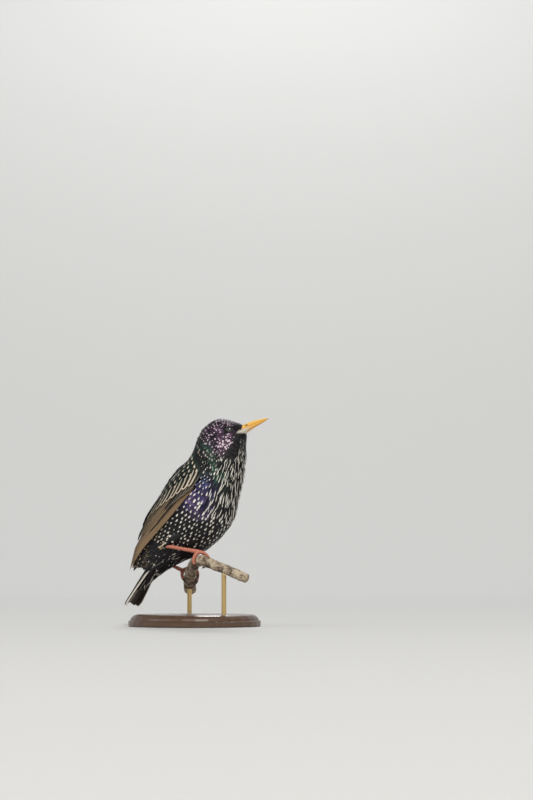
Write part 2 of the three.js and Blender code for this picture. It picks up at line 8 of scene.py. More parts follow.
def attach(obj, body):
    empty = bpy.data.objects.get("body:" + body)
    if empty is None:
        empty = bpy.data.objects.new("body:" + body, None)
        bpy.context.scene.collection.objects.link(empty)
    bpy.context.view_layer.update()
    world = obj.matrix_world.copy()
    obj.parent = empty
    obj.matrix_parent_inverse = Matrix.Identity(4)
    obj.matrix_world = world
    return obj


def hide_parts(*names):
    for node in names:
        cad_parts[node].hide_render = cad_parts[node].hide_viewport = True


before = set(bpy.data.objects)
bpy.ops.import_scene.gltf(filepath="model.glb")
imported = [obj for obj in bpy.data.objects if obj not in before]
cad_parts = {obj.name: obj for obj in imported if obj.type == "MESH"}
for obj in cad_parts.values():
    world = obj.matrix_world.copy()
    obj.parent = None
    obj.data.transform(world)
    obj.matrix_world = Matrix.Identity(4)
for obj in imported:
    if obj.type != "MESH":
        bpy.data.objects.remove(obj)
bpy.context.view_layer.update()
draw = np.random.default_rng(11)
MM = 0.001
SIDES = {"right": -1, "left": 1}  # the sign of y

# Body sections from the bill to the tail: back point x, z, front point x, z, half width
BODY = np.array([
    [44.0, 169.8, 46.7, 163.2, 4.3],
    [40.8, 170.8, 46.3, 159.8, 6.3],
    [36.3, 172.3, 45.9, 155.5, 8.8],
    [29.9, 174.4, 45.6, 150.2, 11.0],
    [22.3, 175.3, 45.2, 144.0, 12.7],
    [14.5, 172.3, 44.3, 137.7, 14.0],
    [7.6, 166.3, 43.3, 132.0, 15.6],
    [3.2, 157.8, 42.2, 126.2, 17.9],
    [0.8, 147.0, 40.8, 119.5, 20.7],
    [-2.6, 137.6, 38.8, 112.0, 23.4],
    [-8.8, 130.4, 37.0, 103.5, 25.4],
    [-16.2, 122.0, 35.3, 94.5, 26.6],
    [-23.4, 112.6, 31.6, 86.0, 26.8],
    [-30.6, 102.8, 25.6, 78.0, 25.6],
    [-37.2, 93.2, 18.2, 70.6, 23.2],
    [-43.2, 83.8, 9.4, 64.0, 19.2],
    [-48.2, 74.8, -1.0, 58.8, 14.8],
    [-52.0, 66.0, -11.5, 54.6, 11.6],
    [-54.4, 58.0, -20.5, 50.4, 9.8],
    [-56.4, 50.6, -29.0, 45.6, 8.2],
    [-58.6, 42.6, -38.0, 38.4, 7.0],
    [-61.0, 33.0, -46.0, 29.0, 6.2],
])
EGG = 0.1  # how much wider a section is towards the back than across its middle
BODY_END = 18.6  # the last section of the flesh under the tail coverts
SKIN = {"rings": 150, "around": 96, "face_depth": 0.35, "depth": 1.3, "deepens": (0.2, 3.5)}
MOUTH = {"at": (42.5, 163.2), "long": 4.2, "high": 3.2, "sunk": 2.3}  # where the skin lies deeper
GAPE = {"at": (43.0, 163.4), "long": 3.4, "high": 2.6, "side": 2.2}  # where no feather grows

EYE = {"x": 34.6, "z": 164.6, "side": 8.86, "radius": 3.4, "pupil": (30, 36)}
# The lid is turned in degrees to face forwards and up as the head's side does there.
LID = {"x": 35.3, "z": 165.4, "side": 11.15, "radius": 2.7, "thickness": 0.42, "long": 1.06, "high": 0.95,
       "forwards": 15.6, "up": 17.8, "rings": 64, "sides": 12}
EYE_BARE = {"side": 6, "roots": 3.1, "tips": 3.0}  # how far feathers keep from the lid's middle

# Bill sections from the corner of the mouth: x, z of the mouth line, height above, depth below, half width
BILL = np.array([
    [39.4, 162.4, 1.6, 1.6, 6.6],
    [43.2, 164.8, 3.8, 3.7, 5.5],
    [47.6, 167.1, 3.7, 3.1, 3.8],
    [53.0, 169.5, 3.2, 2.4, 2.7],
    [58.5, 171.6, 2.3, 1.7, 1.9],
    [63.5, 173.5, 1.2, 0.9, 1.2],
    [66.6, 174.7, 0.3, 0.25, 0.35],
])
BILL_GRID = (40, 25)
BILL_GAP = 0.12  # between each half and the mouth line
NOSTRIL = {"at": (47.4, 169.3), "dent": (2.0, 0.75), "dark": (1.7, 0.6), "depth": 0.8}

# The folded wing, in mm along the body from the shoulder and up from the wing's lower edge
SHOULDER = 8
WING_EDGE = np.array([88, 86, 81, 76, 71, 64, 55, 43, 30], float)[:, None]
WING_EDGE_STEP = 15
WING = {"vane": 0.6, "ridge": 0.18, "shingle": 1.5, "spotted_shingle": 0.9, "midline": 0.3, "drawn_in": 0.8,
        "clear": 0.4, "settled": (0, 18), "least_settled": 0.2, "sunk": 1.6, "sunk_until": (-7, 5)}
# Where the wing covers the coat: body sections, and radians above the wing's lower edge
COVERED = {"first": SHOULDER + 0.4, "last": 17.5, "low": 0.14, "high": 0.95}
FLESH = {"from": 3, "to": 93, "rings": 31, "across": 13}
FLIGHT_GRID = (14, 9)
COVERT_GRID = (12, 9)

# Tail feathers lie in pairs, the outermost lowest; fan is degrees and fork is mm from one pair to the next.
TAIL = {"root": (-39.5, 0, 54.5), "tip": (-62.0, 0, 18.2), "pairs": 6, "width": 9.4, "fan": 1.656,
        "fork": 0.66, "side_step": 0.65, "layer": 0.62, "left_over": 0.2, "twist": 3, "curl": 2.4, "web": 0.3}
COVERT_DROOP = 0.4

KNEE = {"x": -1, "z": 79, "side": 15.5}
THIGH = {"radii": (3.0, 4.6, 2.0), "coat": (4.4, 5.4, 2.9), "feathers": 110, "length": (12.0, 6.0),
         "width": (7.2, 3.8)}
TARSUS = {"top": 1.9, "middle": 1.35, "bottom": 1.75, "scutes": 9, "step": 0.14}
BRANCH = np.array([
    [58.5, -31, 40.5],
    [44.0, -28, 46.0],
    [29.0, -24.5, 50.8],
    [15.5, -18.5, 55.0],
    [5.5, -8.5, 54.6],
    [-2.5, 2.5, 50.5],
    [-9.0, 14.0, 45.8],
    [-15.5, 27.5, 40.6],
    [-20.5, 39.0, 35.8],
    [-24.0, 49.0, 31.0],
])
BRANCH_RADIUS = np.array([3.9, 4.2, 4.3, 4.5, 4.7, 4.8, 4.9, 5.1, 5.3, 5.4])[:, None]
BRANCH_MM = 131
BARK_GRID = (420, 72)
BUD_SCARS = np.array([6, 21, 33, 47, 66, 83, 92, 112, 121])  # mm along the branch
# Each foot: its share along the branch, its side, how it leans round the branch, and its heel
FEET = {
    "right": {"at": 0.4, "side": -1, "lean": -14, "heel": (-21.6, -19.5, 68.6)},
    "left": {"at": 0.77, "side": 1, "lean": -48, "heel": (-37, 18.5, 55.5)},
}
ANKLE_LIFT = 3.6
# Each toe: how far it spreads along the branch, how many degrees it reaches round it, and its radius
TOES = {"hind": (1, -118, 1.45), "inner": (6.5, 104, 1.2), "middle": (0.5, 124, 1.3), "outer": (-6, 106, 1.2)}
TOE_LIFT = 0.3
CLAW = {"reach": 40, "gap": 4, "radii": (0.95, 0.85, 0.55, 0.16)}

# Colours, linear
BLACK = np.array((0.011, 0.010, 0.012))
SHADE = (0.008, 0.008, 0.009)
SHAFT = (0.01, 0.008, 0.007)
PURPLE = np.array((0.1, 0.042, 0.1))
# Painted sheen: a pinkish cast on the ear coverts
PINK_SHEEN = np.array((0.3, 0.16, 0.24))
GREEN = np.array((0.03, 0.11, 0.07))
# Blue of the breast: partly its own gloss, partly painted sheen where the light falls
BLUE_SHEEN = np.array((0.055, 0.045, 0.15))
# Painted highlight: the lilac glare on the breast
LILAC_GLARE = np.array((0.2, 0.14, 0.27))
WHITE = np.array((0.8, 0.76, 0.68))
BUFF = np.array((0.56, 0.41, 0.24))
BROWN = np.array((0.038, 0.024, 0.016))
TAN = np.array((0.33, 0.22, 0.12))
DUSKY = np.array((0.022, 0.017, 0.015))
HEAD_TIP = np.array((0.4, 0.35, 0.33))
CROWN_TIP = np.array((0.55, 0.43, 0.52))
EAR_TIP = np.array((0.72, 0.58, 0.66))
TAIL_BROWN = np.array((0.04, 0.028, 0.021))
# Painted sunlight: the pale outer web of the right outermost tail feather, lit white
SUNLIT_WEB = np.array((0.6, 0.55, 0.46))
SALMON = np.array((0.56, 0.19, 0.12))
THIGH_END = np.array((0.8, 0.62, 0.42))  # what the marks take on towards the heel
FLESH_TONE = (0.014, 0.016, 0.015)
THIGH_TONE = (0.012, 0.012, 0.014)
LID_TONE = (0.013, 0.01, 0.01)
CLAW_TONE = (0.045, 0.03, 0.026)
PUPIL_TONE = np.array((0.002, 0.002, 0.002))
IRIS_TONE = np.array((0.012, 0.006, 0.004))
NOSTRIL_TONE = np.array((0.03, 0.02, 0.015))
BILL_TONES = {"base": np.array((0.6, 0.57, 0.48)), "top": np.array((0.86, 0.6, 0.11)),
              "edge": np.array((0.78, 0.3, 0.05)), "tip": np.array((0.72, 0.56, 0.36))}
BARK_TONES = {"furrow": np.array((0.1, 0.065, 0.042)), "ridge": np.array((0.5, 0.41, 0.3)),
              "cut": (0.52, 0.4, 0.25)}
NO_FRINGE = -0.25
NO_SPOT = 2.0

# Regions of the coat, by body section and by degrees from the back's midline:
# where each starts, is full, starts to go and is gone
START = (-2, -1)
END = (900, 901)
REGIONS = {
    "crown": ((0.5, 1.6, 5.0, 6.4), (*START, 98, 114)),
    "ear": ((2.6, 3.4, 4.6, 5.6), (84, 94, 106, 116)),
    "neck": ((4.9, 6.2, 8.2, 9.6), (40, 80, 120, 150)),
    # The breast region also places the painted sheen and glare
    "breast": ((7.6, 8.8, 10.6, 12), (64, 84, 112, 136)),
    "mantle": ((5.6, 7, 12.5, 14.5), (*START, 50, 80)),
    "lore": ((*START, 1.2, 2.6), (45, 75, 120, 150)),
    # Painted shade: the cheek stays black, without spots
    "cheek": ((1.4, 2.4, 4.2, 5.4), (108, 116, 134, 146)),
    "face": ((*START, 4.8, 6.2), (*START, *END)),
    "nape": ((*START, 6.4, 7.6), (*START, 88, 102)),
    "throat": ((4.2, 5.2, 9.4, 11.6), (98, 116, *END)),
    "chin": ((1.8, 3.2, 9.4, 11.6), (128, 142, *END)),
    "vent_side": ((13.8, 15.2, *END), (55, 70, *END)),
    "vent_middle": ((13.2, 14.8, *END), (105, 135, *END)),
}
BARE_FACE = 1.2  # no spots before this section
# Spots: where on a feather they start, from root (0) to tip (1), and how fast they narrow to the sides
SPOTS = {"plain": (0.84, 0.6), "body_adds": (-0.075, -0.18), "hackle": (0.5, 0.65), "head": (0.76, 0.22)}
# How far apart the coat's feathers sit, in mm, at sections from the face to the tail
SPACING = ((0, 1.2, 3, 5.5, 8, 10.5, 13, 15.5, 19), (0.9, 1.15, 1.75, 2.6, 3.5, 4.3, 4.5, 4.2, 3.4))
CLOSER = 0.86  # the feathers' distance in a row, as a share of the distance between rows
# Parts of the coat: first and last section, and how far feathers stray from their places
COATS = {"coat_head": (0.15, 5.4, 0.22), "coat_neck": (5.4, 9.0, 0.16), "coat_body": (9.0, 18.2, 0.1)}
COAT_GRID = (8, 7)
# Outlines of vanes: where the tip starts to round, how squarely, its least width, the root's width,
# and where the full width is reached
OUTLINES = {"body": (0.55, 2.4, 0.012, 0.5, 0.5), "wing": (0.62, 2.2, 0.02, 0.62, 0.35),
            "tail": (0.84, 2, 0.02, 0.5, 0.625)}
BAKE_PATCH = 0.0015  # half the width of a vane's own patch in the UV map


# Small tools


def rows(table, t):
    """Catmull-Rom through the rows of a table; t counts rows."""
    t = np.asarray(t, float)
    i = np.clip(np.floor(t).astype(int), 0, len(table) - 2)
    f = (t - i)[..., None]
    a, b, d, e = (table[np.clip(i + k, 0, len(table) - 1)] for k in (-1, 0, 1, 2))
    return b + 0.5 * f * (d - a + f * (2 * a - 5 * b + 4 * d - e + f * (3 * (b - d) + e - a)))


def smooth(x, low, high):
    u = np.clip((np.asarray(x, float) - low) / (high - low), 0, 1)
    return u * u * (3 - 2 * u)


def band(x, start, full, until, gone):
    """Fades in from start to full, and out from until to gone."""
    return smooth(x, start, full) * (1 - smooth(x, until, gone))


def unit(v):
    return v / np.linalg.norm(v, axis=-1, keepdims=True)


def lerp(a, b, u):
    return a + (b - a) * u


def turned(a, b, angle):
    """Two lengths at right angles, turned by an angle."""
    return a * np.cos(angle) - b * np.sin(angle), a * np.sin(angle) + b * np.cos(angle)


def heading(line, u, nudge):
    """The direction of a line that is given as a function of u."""
    return unit(line(np.minimum(u + nudge, 1)) - line(np.maximum(u - nudge, 0)))


def round_grid(along, count):
    """A grid of places along a form, and of angles all round it."""
    return np.meshgrid(along, np.linspace(0, 2 * np.pi, count, endpoint=False), indexing="ij")


def away_from(points, at, long, high):
    """How far points are from a place in the side view, counted in an ellipse's half axes."""
    return np.hypot((points[..., 0] - at[0]) / long, (points[..., 2] - at[1]) / high)


def curve_through(points, u):
    """Centripetal Catmull-Rom through points, as three.js draws it; u runs evenly over the points."""
    p = np.asarray(points, float)
    p = np.vstack([2 * p[0] - p[1], p, 2 * p[-1] - p[-2]])
    place = np.clip(np.asarray(u, float), 0, 1) * (len(p) - 3)
    i = np.minimum(place.astype(int), len(p) - 4)
    f = (place - i)[..., None]
    q = [p[i + k] for k in range(4)]
    gap = [np.maximum(np.linalg.norm(q[k + 1] - q[k], axis=-1, keepdims=True), 1e-6) ** 0.5 for k in range(3)]
    t1 = ((q[1] - q[0]) / gap[0] - (q[2] - q[0]) / (gap[0] + gap[1]) + (q[2] - q[1]) / gap[1]) * gap[1]
    t2 = ((q[2] - q[1]) / gap[1] - (q[3] - q[1]) / (gap[1] + gap[2]) + (q[3] - q[2]) / gap[2]) * gap[1]
    return (q[1] + t1 * f + (-3 * q[1] + 3 * q[2] - 2 * t1 - t2) * f ** 2
            + (2 * q[1] - 2 * q[2] + t1 + t2) * f ** 3)


def make_mesh(name, points, faces, material, colours=None, vectors=None, bake=None):
    """A mesh object from mm points and faces, with colour, vector and OFBake layers by vertex."""
    mesh = bpy.data.meshes.new(name)
    points = np.asarray(points).reshape(-1, 3)
    mesh.vertices.add(len(points))
    mesh.vertices.foreach_set("co", (points * MM).astype(np.float32).ravel())
    mesh.loops.add(faces.size)
    mesh.loops.foreach_set("vertex_index", faces.ravel().astype(np.int32))
    mesh.polygons.add(len(faces))
    mesh.polygons.foreach_set("loop_start", (np.arange(len(faces)) * faces.shape[1]).astype(np.int32))
    mesh.polygons.foreach_set("use_smooth", np.full(len(faces), True))
    mesh.update(calc_edges=True)
    for key, values in (colours or {}).items():
        layer = mesh.attributes.new(key, "FLOAT_COLOR", "POINT")
        rgba = np.ones((len(points), 4), np.float32)
        rgba[:, :3] = np.reshape(values, (-1, 3))
        layer.data.foreach_set("color", rgba.ravel())
    for key, values in (vectors or {}).items():
        layer = mesh.attributes.new(key, "FLOAT_VECTOR", "POINT")
        layer.data.foreach_set("vector", np.asarray(values, np.float32).ravel())
    if bake is not None:
        layer = mesh.uv_layers.new(name="OFBake")
        layer.data.foreach_set("uv", np.asarray(bake, np.float32)[faces.ravel()].ravel())
    mesh.materials.append(material)
    mesh.validate()
    made = bpy.data.objects.new(name, mesh)
    bpy.context.scene.collection.objects.link(made)
    return made


def place(made, slot, *nodes):
    if nodes:
        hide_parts(*nodes)
    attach(made, "root")


def grid_faces(long, wide, wrap=False):
    """Quads over a grid of long by wide points."""
    a = np.arange(long - 1)[:, None] * wide
    k = np.arange(wide if wrap else wide - 1)[None, :]
    n = (k + 1) % wide
    return np.stack([a + k, a + n, a + wide + n, a + wide + k], -1).reshape(-1, 4)


def capped(grid):
    """A grid of rings with both ends gathered to their middle."""
    ends = [np.broadcast_to(grid[k].mean(0), (1, *grid[k].shape)) for k in (0, -1)]
    return np.concatenate([ends[0], grid, ends[1]])


def tube(points, radii, sides, steps):
    """The grid of a round, closed limb through points."""
    u = np.linspace(0, 1, steps + 1)
    at = curve_through(points, u)
    along = heading(lambda s: curve_through(points, s), u, 0.004)
    across = unit(np.array([0, 1.0, 0]) - along * along[:, 1:2])
    up = unit(np.cross(across, along))
    radius = rows(np.asarray(radii, float)[:, None], u * (len(radii) - 1))
    a = np.linspace(0, 2 * np.pi, sides, endpoint=False)[None, :, None]
    return capped(at[:, None] + radius[:, None] * (across[:, None] * np.cos(a) + up[:, None] * np.sin(a)))


def tube_mesh(name, grids, material, tint):
    """One mesh of several tubes."""
    starts = np.cumsum([0] + [grid[..., 0].size for grid in grids])
    faces = [grid_faces(*grid.shape[:2], True) + start for grid, start in zip(grids, starts)]
    points = np.concatenate([grid.reshape(-1, 3) for grid in grids])
    return make_mesh(name, points, np.concatenate(faces), material, {"tint": tint})


# Materials


class Nodes:
    """A material's node tree, built from short calls."""

    def __init__(self, name):
        self.material = bpy.data.materials.new(name)
        self.material.use_nodes = True
        self.tree = self.material.node_tree
        self.shader = self.tree.nodes["Principled BSDF"]

    def add(self, kind, **inputs):
        made = self.tree.nodes.new(kind)
        for key, value in inputs.items():
            self.put(made.inputs[key.replace("_", " ")], value)
        return made

    def put(self, socket, value):
        if isinstance(value, bpy.types.NodeSocket):
            self.tree.links.new(value, socket)
        else:
            socket.default_value = value

    def math(self, operation, a, b=0.0, clamp=False):
        made = self.tree.nodes.new("ShaderNodeMath")
        made.operation = operation
        made.use_clamp = clamp
        self.put(made.inputs[0], a)
        self.put(made.inputs[1], b)
        return made.outputs[0]

    def mix(self, factor, a, b, mode="MIX"):
        made = self.tree.nodes.new("ShaderNodeMix")
        made.data_type = "RGBA"
        made.blend_type = mode
        self.put(made.inputs[0], factor)
        self.put(made.inputs[6], a)
        self.put(made.inputs[7], b)
        return made.outputs[2]

    def shaded(self, colour, grey):
        grey = self.add("ShaderNodeCombineXYZ", X=grey, Y=grey, Z=grey).outputs[0]
        return self.mix(1.0, colour, grey, "MULTIPLY")

    def layer(self, name, output="Vector"):
        made = self.tree.nodes.new("ShaderNodeAttribute")
        made.attribute_name = name
        return made.outputs[output]

    def parts(self, name):
        return self.add("ShaderNodeSeparateXYZ", Vector=self.layer(name)).outputs

    def noise(self, scale, detail=4.0, where=None):
        made = self.add("ShaderNodeTexNoise", Scale=scale, Detail=detail)
        self.put(made.inputs["Vector"], where or self.add("ShaderNodeTexCoord").outputs["Object"])
        return made.outputs["Fac"]

    def bump(self, height, strength, distance):
        made = self.add("ShaderNodeBump", Height=height, Strength=strength, Distance=distance)
        self.put(self.shader.inputs["Normal"], made.outputs["Normal"])

    def set(self, **inputs):
        for key, value in inputs.items():
            self.put(self.shader.inputs[key.replace("_", " ")], value)
        return self.material


def feather_material(name, roughness):
    """Ground colour with a marked tip, fringe and fine barbs, from the layers that the vanes carry."""
    n = Nodes(name)
    along, across, start = n.parts("form")
    slope, gloss, fringe = n.parts("kind")
    aspect = n.parts("build")[0]
    side = n.math("ABSOLUTE", across)
    ragged = n.math("MULTIPLY", n.math("SUBTRACT", n.noise(2600.0, 2.0), 0.5), 0.16)
    # The spot at the tip, the fringe along the rim, and both as one mask
    spot = n.math("SUBTRACT", n.math("SUBTRACT", along, start), n.math("MULTIPLY", slope, side))
    spot = n.math("MULTIPLY", n.math("ADD", spot, ragged), 14.0, True)
    to_tip = n.math("SUBTRACT", 1.0, n.math("MULTIPLY", n.math("SUBTRACT", 1.0, along), aspect))
    rim = n.math("SUBTRACT", n.math("MAXIMUM", side, to_tip), 1.0)
    rim = n.math("ADD", n.math("ADD", rim, fringe), n.math("MULTIPLY", ragged, 0.3))
    rim = n.math("MULTIPLY", rim, 16.0, True)
    mask = n.math("MAXIMUM", spot, rim, True)
    # Barbs slant from a darker shaft; a glossy feather shows its colour towards the tip only
    waves = n.math("MULTIPLY", n.math("MULTIPLY", along, aspect), 70.0)
    barb = n.math("SINE", n.math("SUBTRACT", waves, n.math("MULTIPLY", side, 34.0)))
    shaft = n.math("SUBTRACT", 1.0, n.math("MULTIPLY", side, 14.0), True)
    lit = n.math("MULTIPLY", n.math("SUBTRACT", along, 0.3), 2.2, True)
    lit = n.math("MAXIMUM", lit, n.math("LESS_THAN", gloss, 0.12))
    ground = n.mix(lit, (*SHADE, 1), n.layer("ground", "Color"))
    ground = n.mix(n.math("MULTIPLY", shaft, 0.5), ground, (*SHAFT, 1))
    colour = n.mix(mask, ground, n.layer("mark", "Color"))
    # Painted shade: each vane darkens towards its root, where the vanes over it shade it; grain carries this
    # shade with the barbs
    shadow = n.math("ADD", 0.72, n.math("MULTIPLY", along, 0.42), True)
    grain = n.math("MULTIPLY", shadow, n.math("ADD", 0.94, n.math("MULTIPLY", barb, 0.06)))
    n.bump(n.math("ADD", barb, n.math("MULTIPLY", shaft, 2.0)), 0.22, 0.0001)
    metallic = n.math("MULTIPLY", gloss, n.math("SUBTRACT", 1.0, mask))
    return n.set(Base_Color=n.shaded(colour, grain), Metallic=metallic, Roughness=roughness,
                 Specular_IOR_Level=0.3)


def tinted(name, roughness, grain=900.0, strength=0.15, distance=0.0001, coat=0.0, low=0.8, **more):
    """A material that takes the vertex colours of its mesh, with a fine uneven surface."""
    n = Nodes(name)
    fine = n.noise(grain)
    uneven = n.math("ADD", low, n.math("MULTIPLY", fine, 2 * (1 - low)))
    n.bump(fine, strength, distance)
    colour = n.shaded(n.layer("tint", "Color"), uneven)
    return n.set(Base_Color=colour, Roughness=roughness, Coat_Weight=coat, Coat_Roughness=0.12, **more)


def wood_material():
    n = Nodes("wood")
    where = n.add("ShaderNodeMapping", Vector=n.add("ShaderNodeTexCoord").outputs["Object"],
                  Scale=(10.0, 90.0, 90.0)).outputs[0]
    grain = n.noise(3.0, 8.0, where)
    n.bump(grain, 0.15, 0.0004)
    colour = n.mix(grain, (0.035, 0.017, 0.009, 1), (0.13, 0.065, 0.032, 1))
    return n.set(Base_Color=colour, Roughness=0.4, Coat_Weight=0.3, Coat_Roughness=0.2)


plume = feather_material("plume", 0.42)
quill = feather_material("quill", 0.5)
skin_look = tinted("skin", 0.75)
horn = tinted("horn", 0.36, grain=700.0, strength=0.12, coat=0.15, low=0.9)
scaly = tinted("scaly", 0.5, grain=1400.0, strength=0.25, coat=0.05)
eye_look = tinted("eye", 0.06, grain=500.0, strength=0.0, coat=1.0, low=0.95, Specular_IOR_Level=1.0)
bark = tinted("bark", 0.9, grain=420.0, strength=0.7, distance=0.0004, low=0.55)
wood = wood_material()
brass = Nodes("brass").set(Base_Color=(0.62, 0.44, 0.2, 1), Metallic=1.0, Roughness=0.28)
pale = Nodes("floor").set(Base_Color=(0.6, 0.6, 0.59, 1), Roughness=0.9)


# The body surface


def on_body(t, angle, lift=0.0):
    """A point on the body: t counts sections, angle turns from the back over the left side (+)."""
    bx, bz, fx, fz, half = np.moveaxis(rows(BODY, t), -1, 0)
    up = np.stack([(bx - fx) / 2, np.zeros_like(bx), (bz - fz) / 2], -1)
    depth = np.linalg.norm(up, axis=-1, keepdims=True)
    up = up / depth
    c = np.cos(angle)
    s = np.sin(angle)
    out = up * (c[..., None] / depth)
    out[..., 1] += s / half
    point = up * depth * c[..., None] + unit(out) * np.asarray(lift)[..., None]
    point[..., 0] += (bx + fx) / 2
    point[..., 2] += (bz + fz) / 2
    point[..., 1] += half * s * (1 + EGG * c)
    return point


def body_scale(t, angle):
    """Millimetres for one section, and for one radian, at a place on the body."""
    step = 0.05
    per_t = np.linalg.norm(on_body(t + step, angle) - on_body(t - step, angle), axis=-1) / (2 * step)
    per_angle = np.linalg.norm(on_body(t, angle + step) - on_body(t, angle - step), axis=-1) / (2 * step)
    return per_t, per_angle


def region(name, t, deg):
    """How far a place belongs to a region of the coat, from 0 to 1."""
    along, around = REGIONS[name]
    return band(t, *along) * band(deg, *around)


def hackled(t, deg):
    """Where the long, pointed feathers of throat and breast grow."""
    return np.maximum(region("throat", t, deg), region("chin", t, deg))


def coat_look(t, angle):
    """Ground, mark, spot start and slope, gloss and fringe of the coat at places on the body."""
    deg = np.degrees(np.abs(angle))
    crown, ear, neck, breast, mantle, lore, cheek = (
        region(name, t, deg) for name in ("crown", "ear", "neck", "breast", "mantle", "lore", "cheek"))
    patch = 0.5 + 0.5 * np.sin(3.1 * t + 2.3 * np.sin(4 * angle))
    ground = np.tile(BLACK, (len(t), 1))
    for colour, weight in (
            (PURPLE, 0.55 * crown * (0.15 + 0.85 * patch)),
            # painted pink sheen on the ear
            (PINK_SHEEN, 0.15 * ear),
            (GREEN, 0.5 * neck * patch),
            # The breast's blue is partly its own gloss and partly painted sheen; the lilac is painted glare
            (BLUE_SHEEN, 0.6 * breast),
            (LILAC_GLARE, 0.55 * breast * smooth(t, 9.0, 10.0) * patch),
            (GREEN, 0.3 * mantle * patch),
            (BLACK, 0.9 * lore)):
        ground = lerp(ground, colour, np.clip(weight, 0, 1)[:, None])
    gloss = 0.14 + 0.5 * np.clip(crown + neck + breast + 0.6 * mantle, 0, 1)

    throat = hackled(t, deg)
    head = np.maximum(region("nape", t, deg), region("face", t, deg)) * (1 - throat)
    grown = (smooth(t, 5.5, 7.5), smooth(t, 8.0, 10.5))  # to the size of the body's spots
    start, slope = (SPOTS["plain"][k] + SPOTS["body_adds"][k] * grown[k] for k in (0, 1))
    for share, kind in ((throat, "hackle"), (head, "head")):
        start = lerp(start, SPOTS[kind][0], share)
        slope = lerp(slope, SPOTS[kind][1], share)
    start = start - 0.09 * ear + 0.14 * (draw.random(len(t)) < 0.4) * head
    vent = np.maximum(region("vent_side", t, deg), region("vent_middle", t, deg))
    # Painted shade: the cheek is left black, without spots
    bare = (cheek > 0.5) | (lore > 0.5) | (t < BARE_FACE) | (draw.random(len(t)) < 0.88 * vent)
    start = np.where(bare | (draw.random(len(t)) < 0.2 * throat), NO_SPOT, start)

    mark = lerp(BUFF, WHITE, smooth(deg, 62, 85)[:, None])
    mark = lerp(mark, HEAD_TIP, head[:, None])
    mark = lerp(mark, CROWN_TIP, (crown * smooth(deg, 20, 50))[:, None])
    mark = lerp(mark, EAR_TIP, np.clip(1.3 * ear, 0, 1)[:, None])
    return {"ground": ground, "mark": mark, "start": start, "slope": slope, "gloss": gloss,
            "fringe": np.full(len(t), NO_FRINGE)}


def look_of(count, ground, mark, start=NO_SPOT, slope=0.5, gloss=0.1, fringe=NO_FRINGE):
    """The same look for a number of vanes, with their colours a little apart."""
    ground = np.tile(ground, (count, 1)) * draw.uniform(0.7, 1.3, (count, 1))
    mark = np.tile(mark, (count, 1)) * draw.uniform(0.8, 1.1, (count, 1))
    rest = {"start": start, "slope": slope, "gloss": gloss, "fringe": fringe}
    numbers = {key: np.full(count, float(value)) for key, value in rest.items()}
    return {"ground": ground, "mark": mark, **numbers}


def unwrap_body(t, angle):
    """A place on the body in the UV map, inside a narrow margin."""
    return 0.02 + 0.96 * np.stack([angle / (2 * np.pi) + 0.5, t / (len(BODY) - 0.5)], -1)


# Vanes


def vane_grid(long, wide, power=1.35):
    """Places along (0 to 1) and across (-1 to 1) a vane."""
    u = 1 - (1 - np.linspace(0, 1, long)) ** power
    return np.meshgrid(u, np.linspace(-1, 1, wide), indexing="ij")


def outline(kind, u):
    """A vane's width along it, as a share of its greatest."""
    if kind == "hackle":
        return np.clip(1 - u, 0.03, 1) ** 0.75 * lerp(0.6, 1.25, np.minimum(1, u / 0.3))
    full, power, least, root, widest = OUTLINES[kind]
    tip = np.sqrt(np.clip(1 - (np.maximum(0, u - full) / (1 - full)) ** power, least, 1))
    return tip * lerp(root, 1, np.minimum(1, u / widest))


def layers(u, v, look, root_uv, aspect):
    """The layers that a set of vanes carries, each repeated over its own grid."""
    shape = (len(look["start"]), *u.shape)

    def vectors(*values):
        """Three values for each point: a grid's own, or one for each vane."""
        values = [value if np.ndim(value) == 2 else np.reshape(value, (-1, 1, 1)) for value in values]
        return np.stack([np.broadcast_to(value, shape) for value in values], -1).reshape(-1, 3)

    colours = {key: np.repeat(look[key], u.size, 0) for key in ("ground", "mark")}
    carried = {"form": vectors(u, v, look["start"]),
               "kind": vectors(look["slope"], look["gloss"], look["fringe"]),
               "build": vectors(aspect, 0, 0)}
    bake = root_uv[:, None, :] + BAKE_PATCH * np.stack([v.ravel(), 2 * u.ravel() - 1], -1)
    return colours, carried, bake.reshape(-1, 2)


def vane_faces(count, long, wide):
    return (np.arange(count)[:, None, None] * (long * wide) + grid_faces(long, wide)[None]).reshape(-1, 4)


def lay_on_body(name, t, angle, length, width, root_lift, tip_lift, skew, kind, look, size):
    """Feathers on the body, each rooted at t and angle and following the surface to its tip."""
    u, v = vane_grid(*size)
    count = len(t)
    per_t, per_angle = body_scale(t, angle)
    aspect = 2 * length / width
    bake_at = unwrap_body(t, angle)
    t, angle, length, width, tip_lift, turn, per_t, per_angle = (
        value[:, None, None] for value in (t, angle, length, width, tip_lift, skew, per_t, per_angle))
    along = u * length
    across = v * outline(kind, u) * width / 2
    dt, da = turned(along, across, turn)
    dt = dt / per_t
    da = da / per_angle
    rise = root_lift + (tip_lift - root_lift) * u ** 1.3
    rise = rise + (0.3 - v ** 2 * np.minimum(1, u * 2)) * width * 0.06
    rise = rise - COVERT_DROOP * np.maximum(0, t + dt - BODY_END) ** 2
    ragged = draw.uniform(-0.06, 0.06, (count, *size)) * (u > 0.75) * length
    points = on_body(t + dt + ragged / per_t, angle + da, rise)
    made = make_mesh(name, points, vane_faces(count, *size), plume, *layers(u, v, look, bake_at, aspect))
    place(made, "plumage")


# Skin and coat


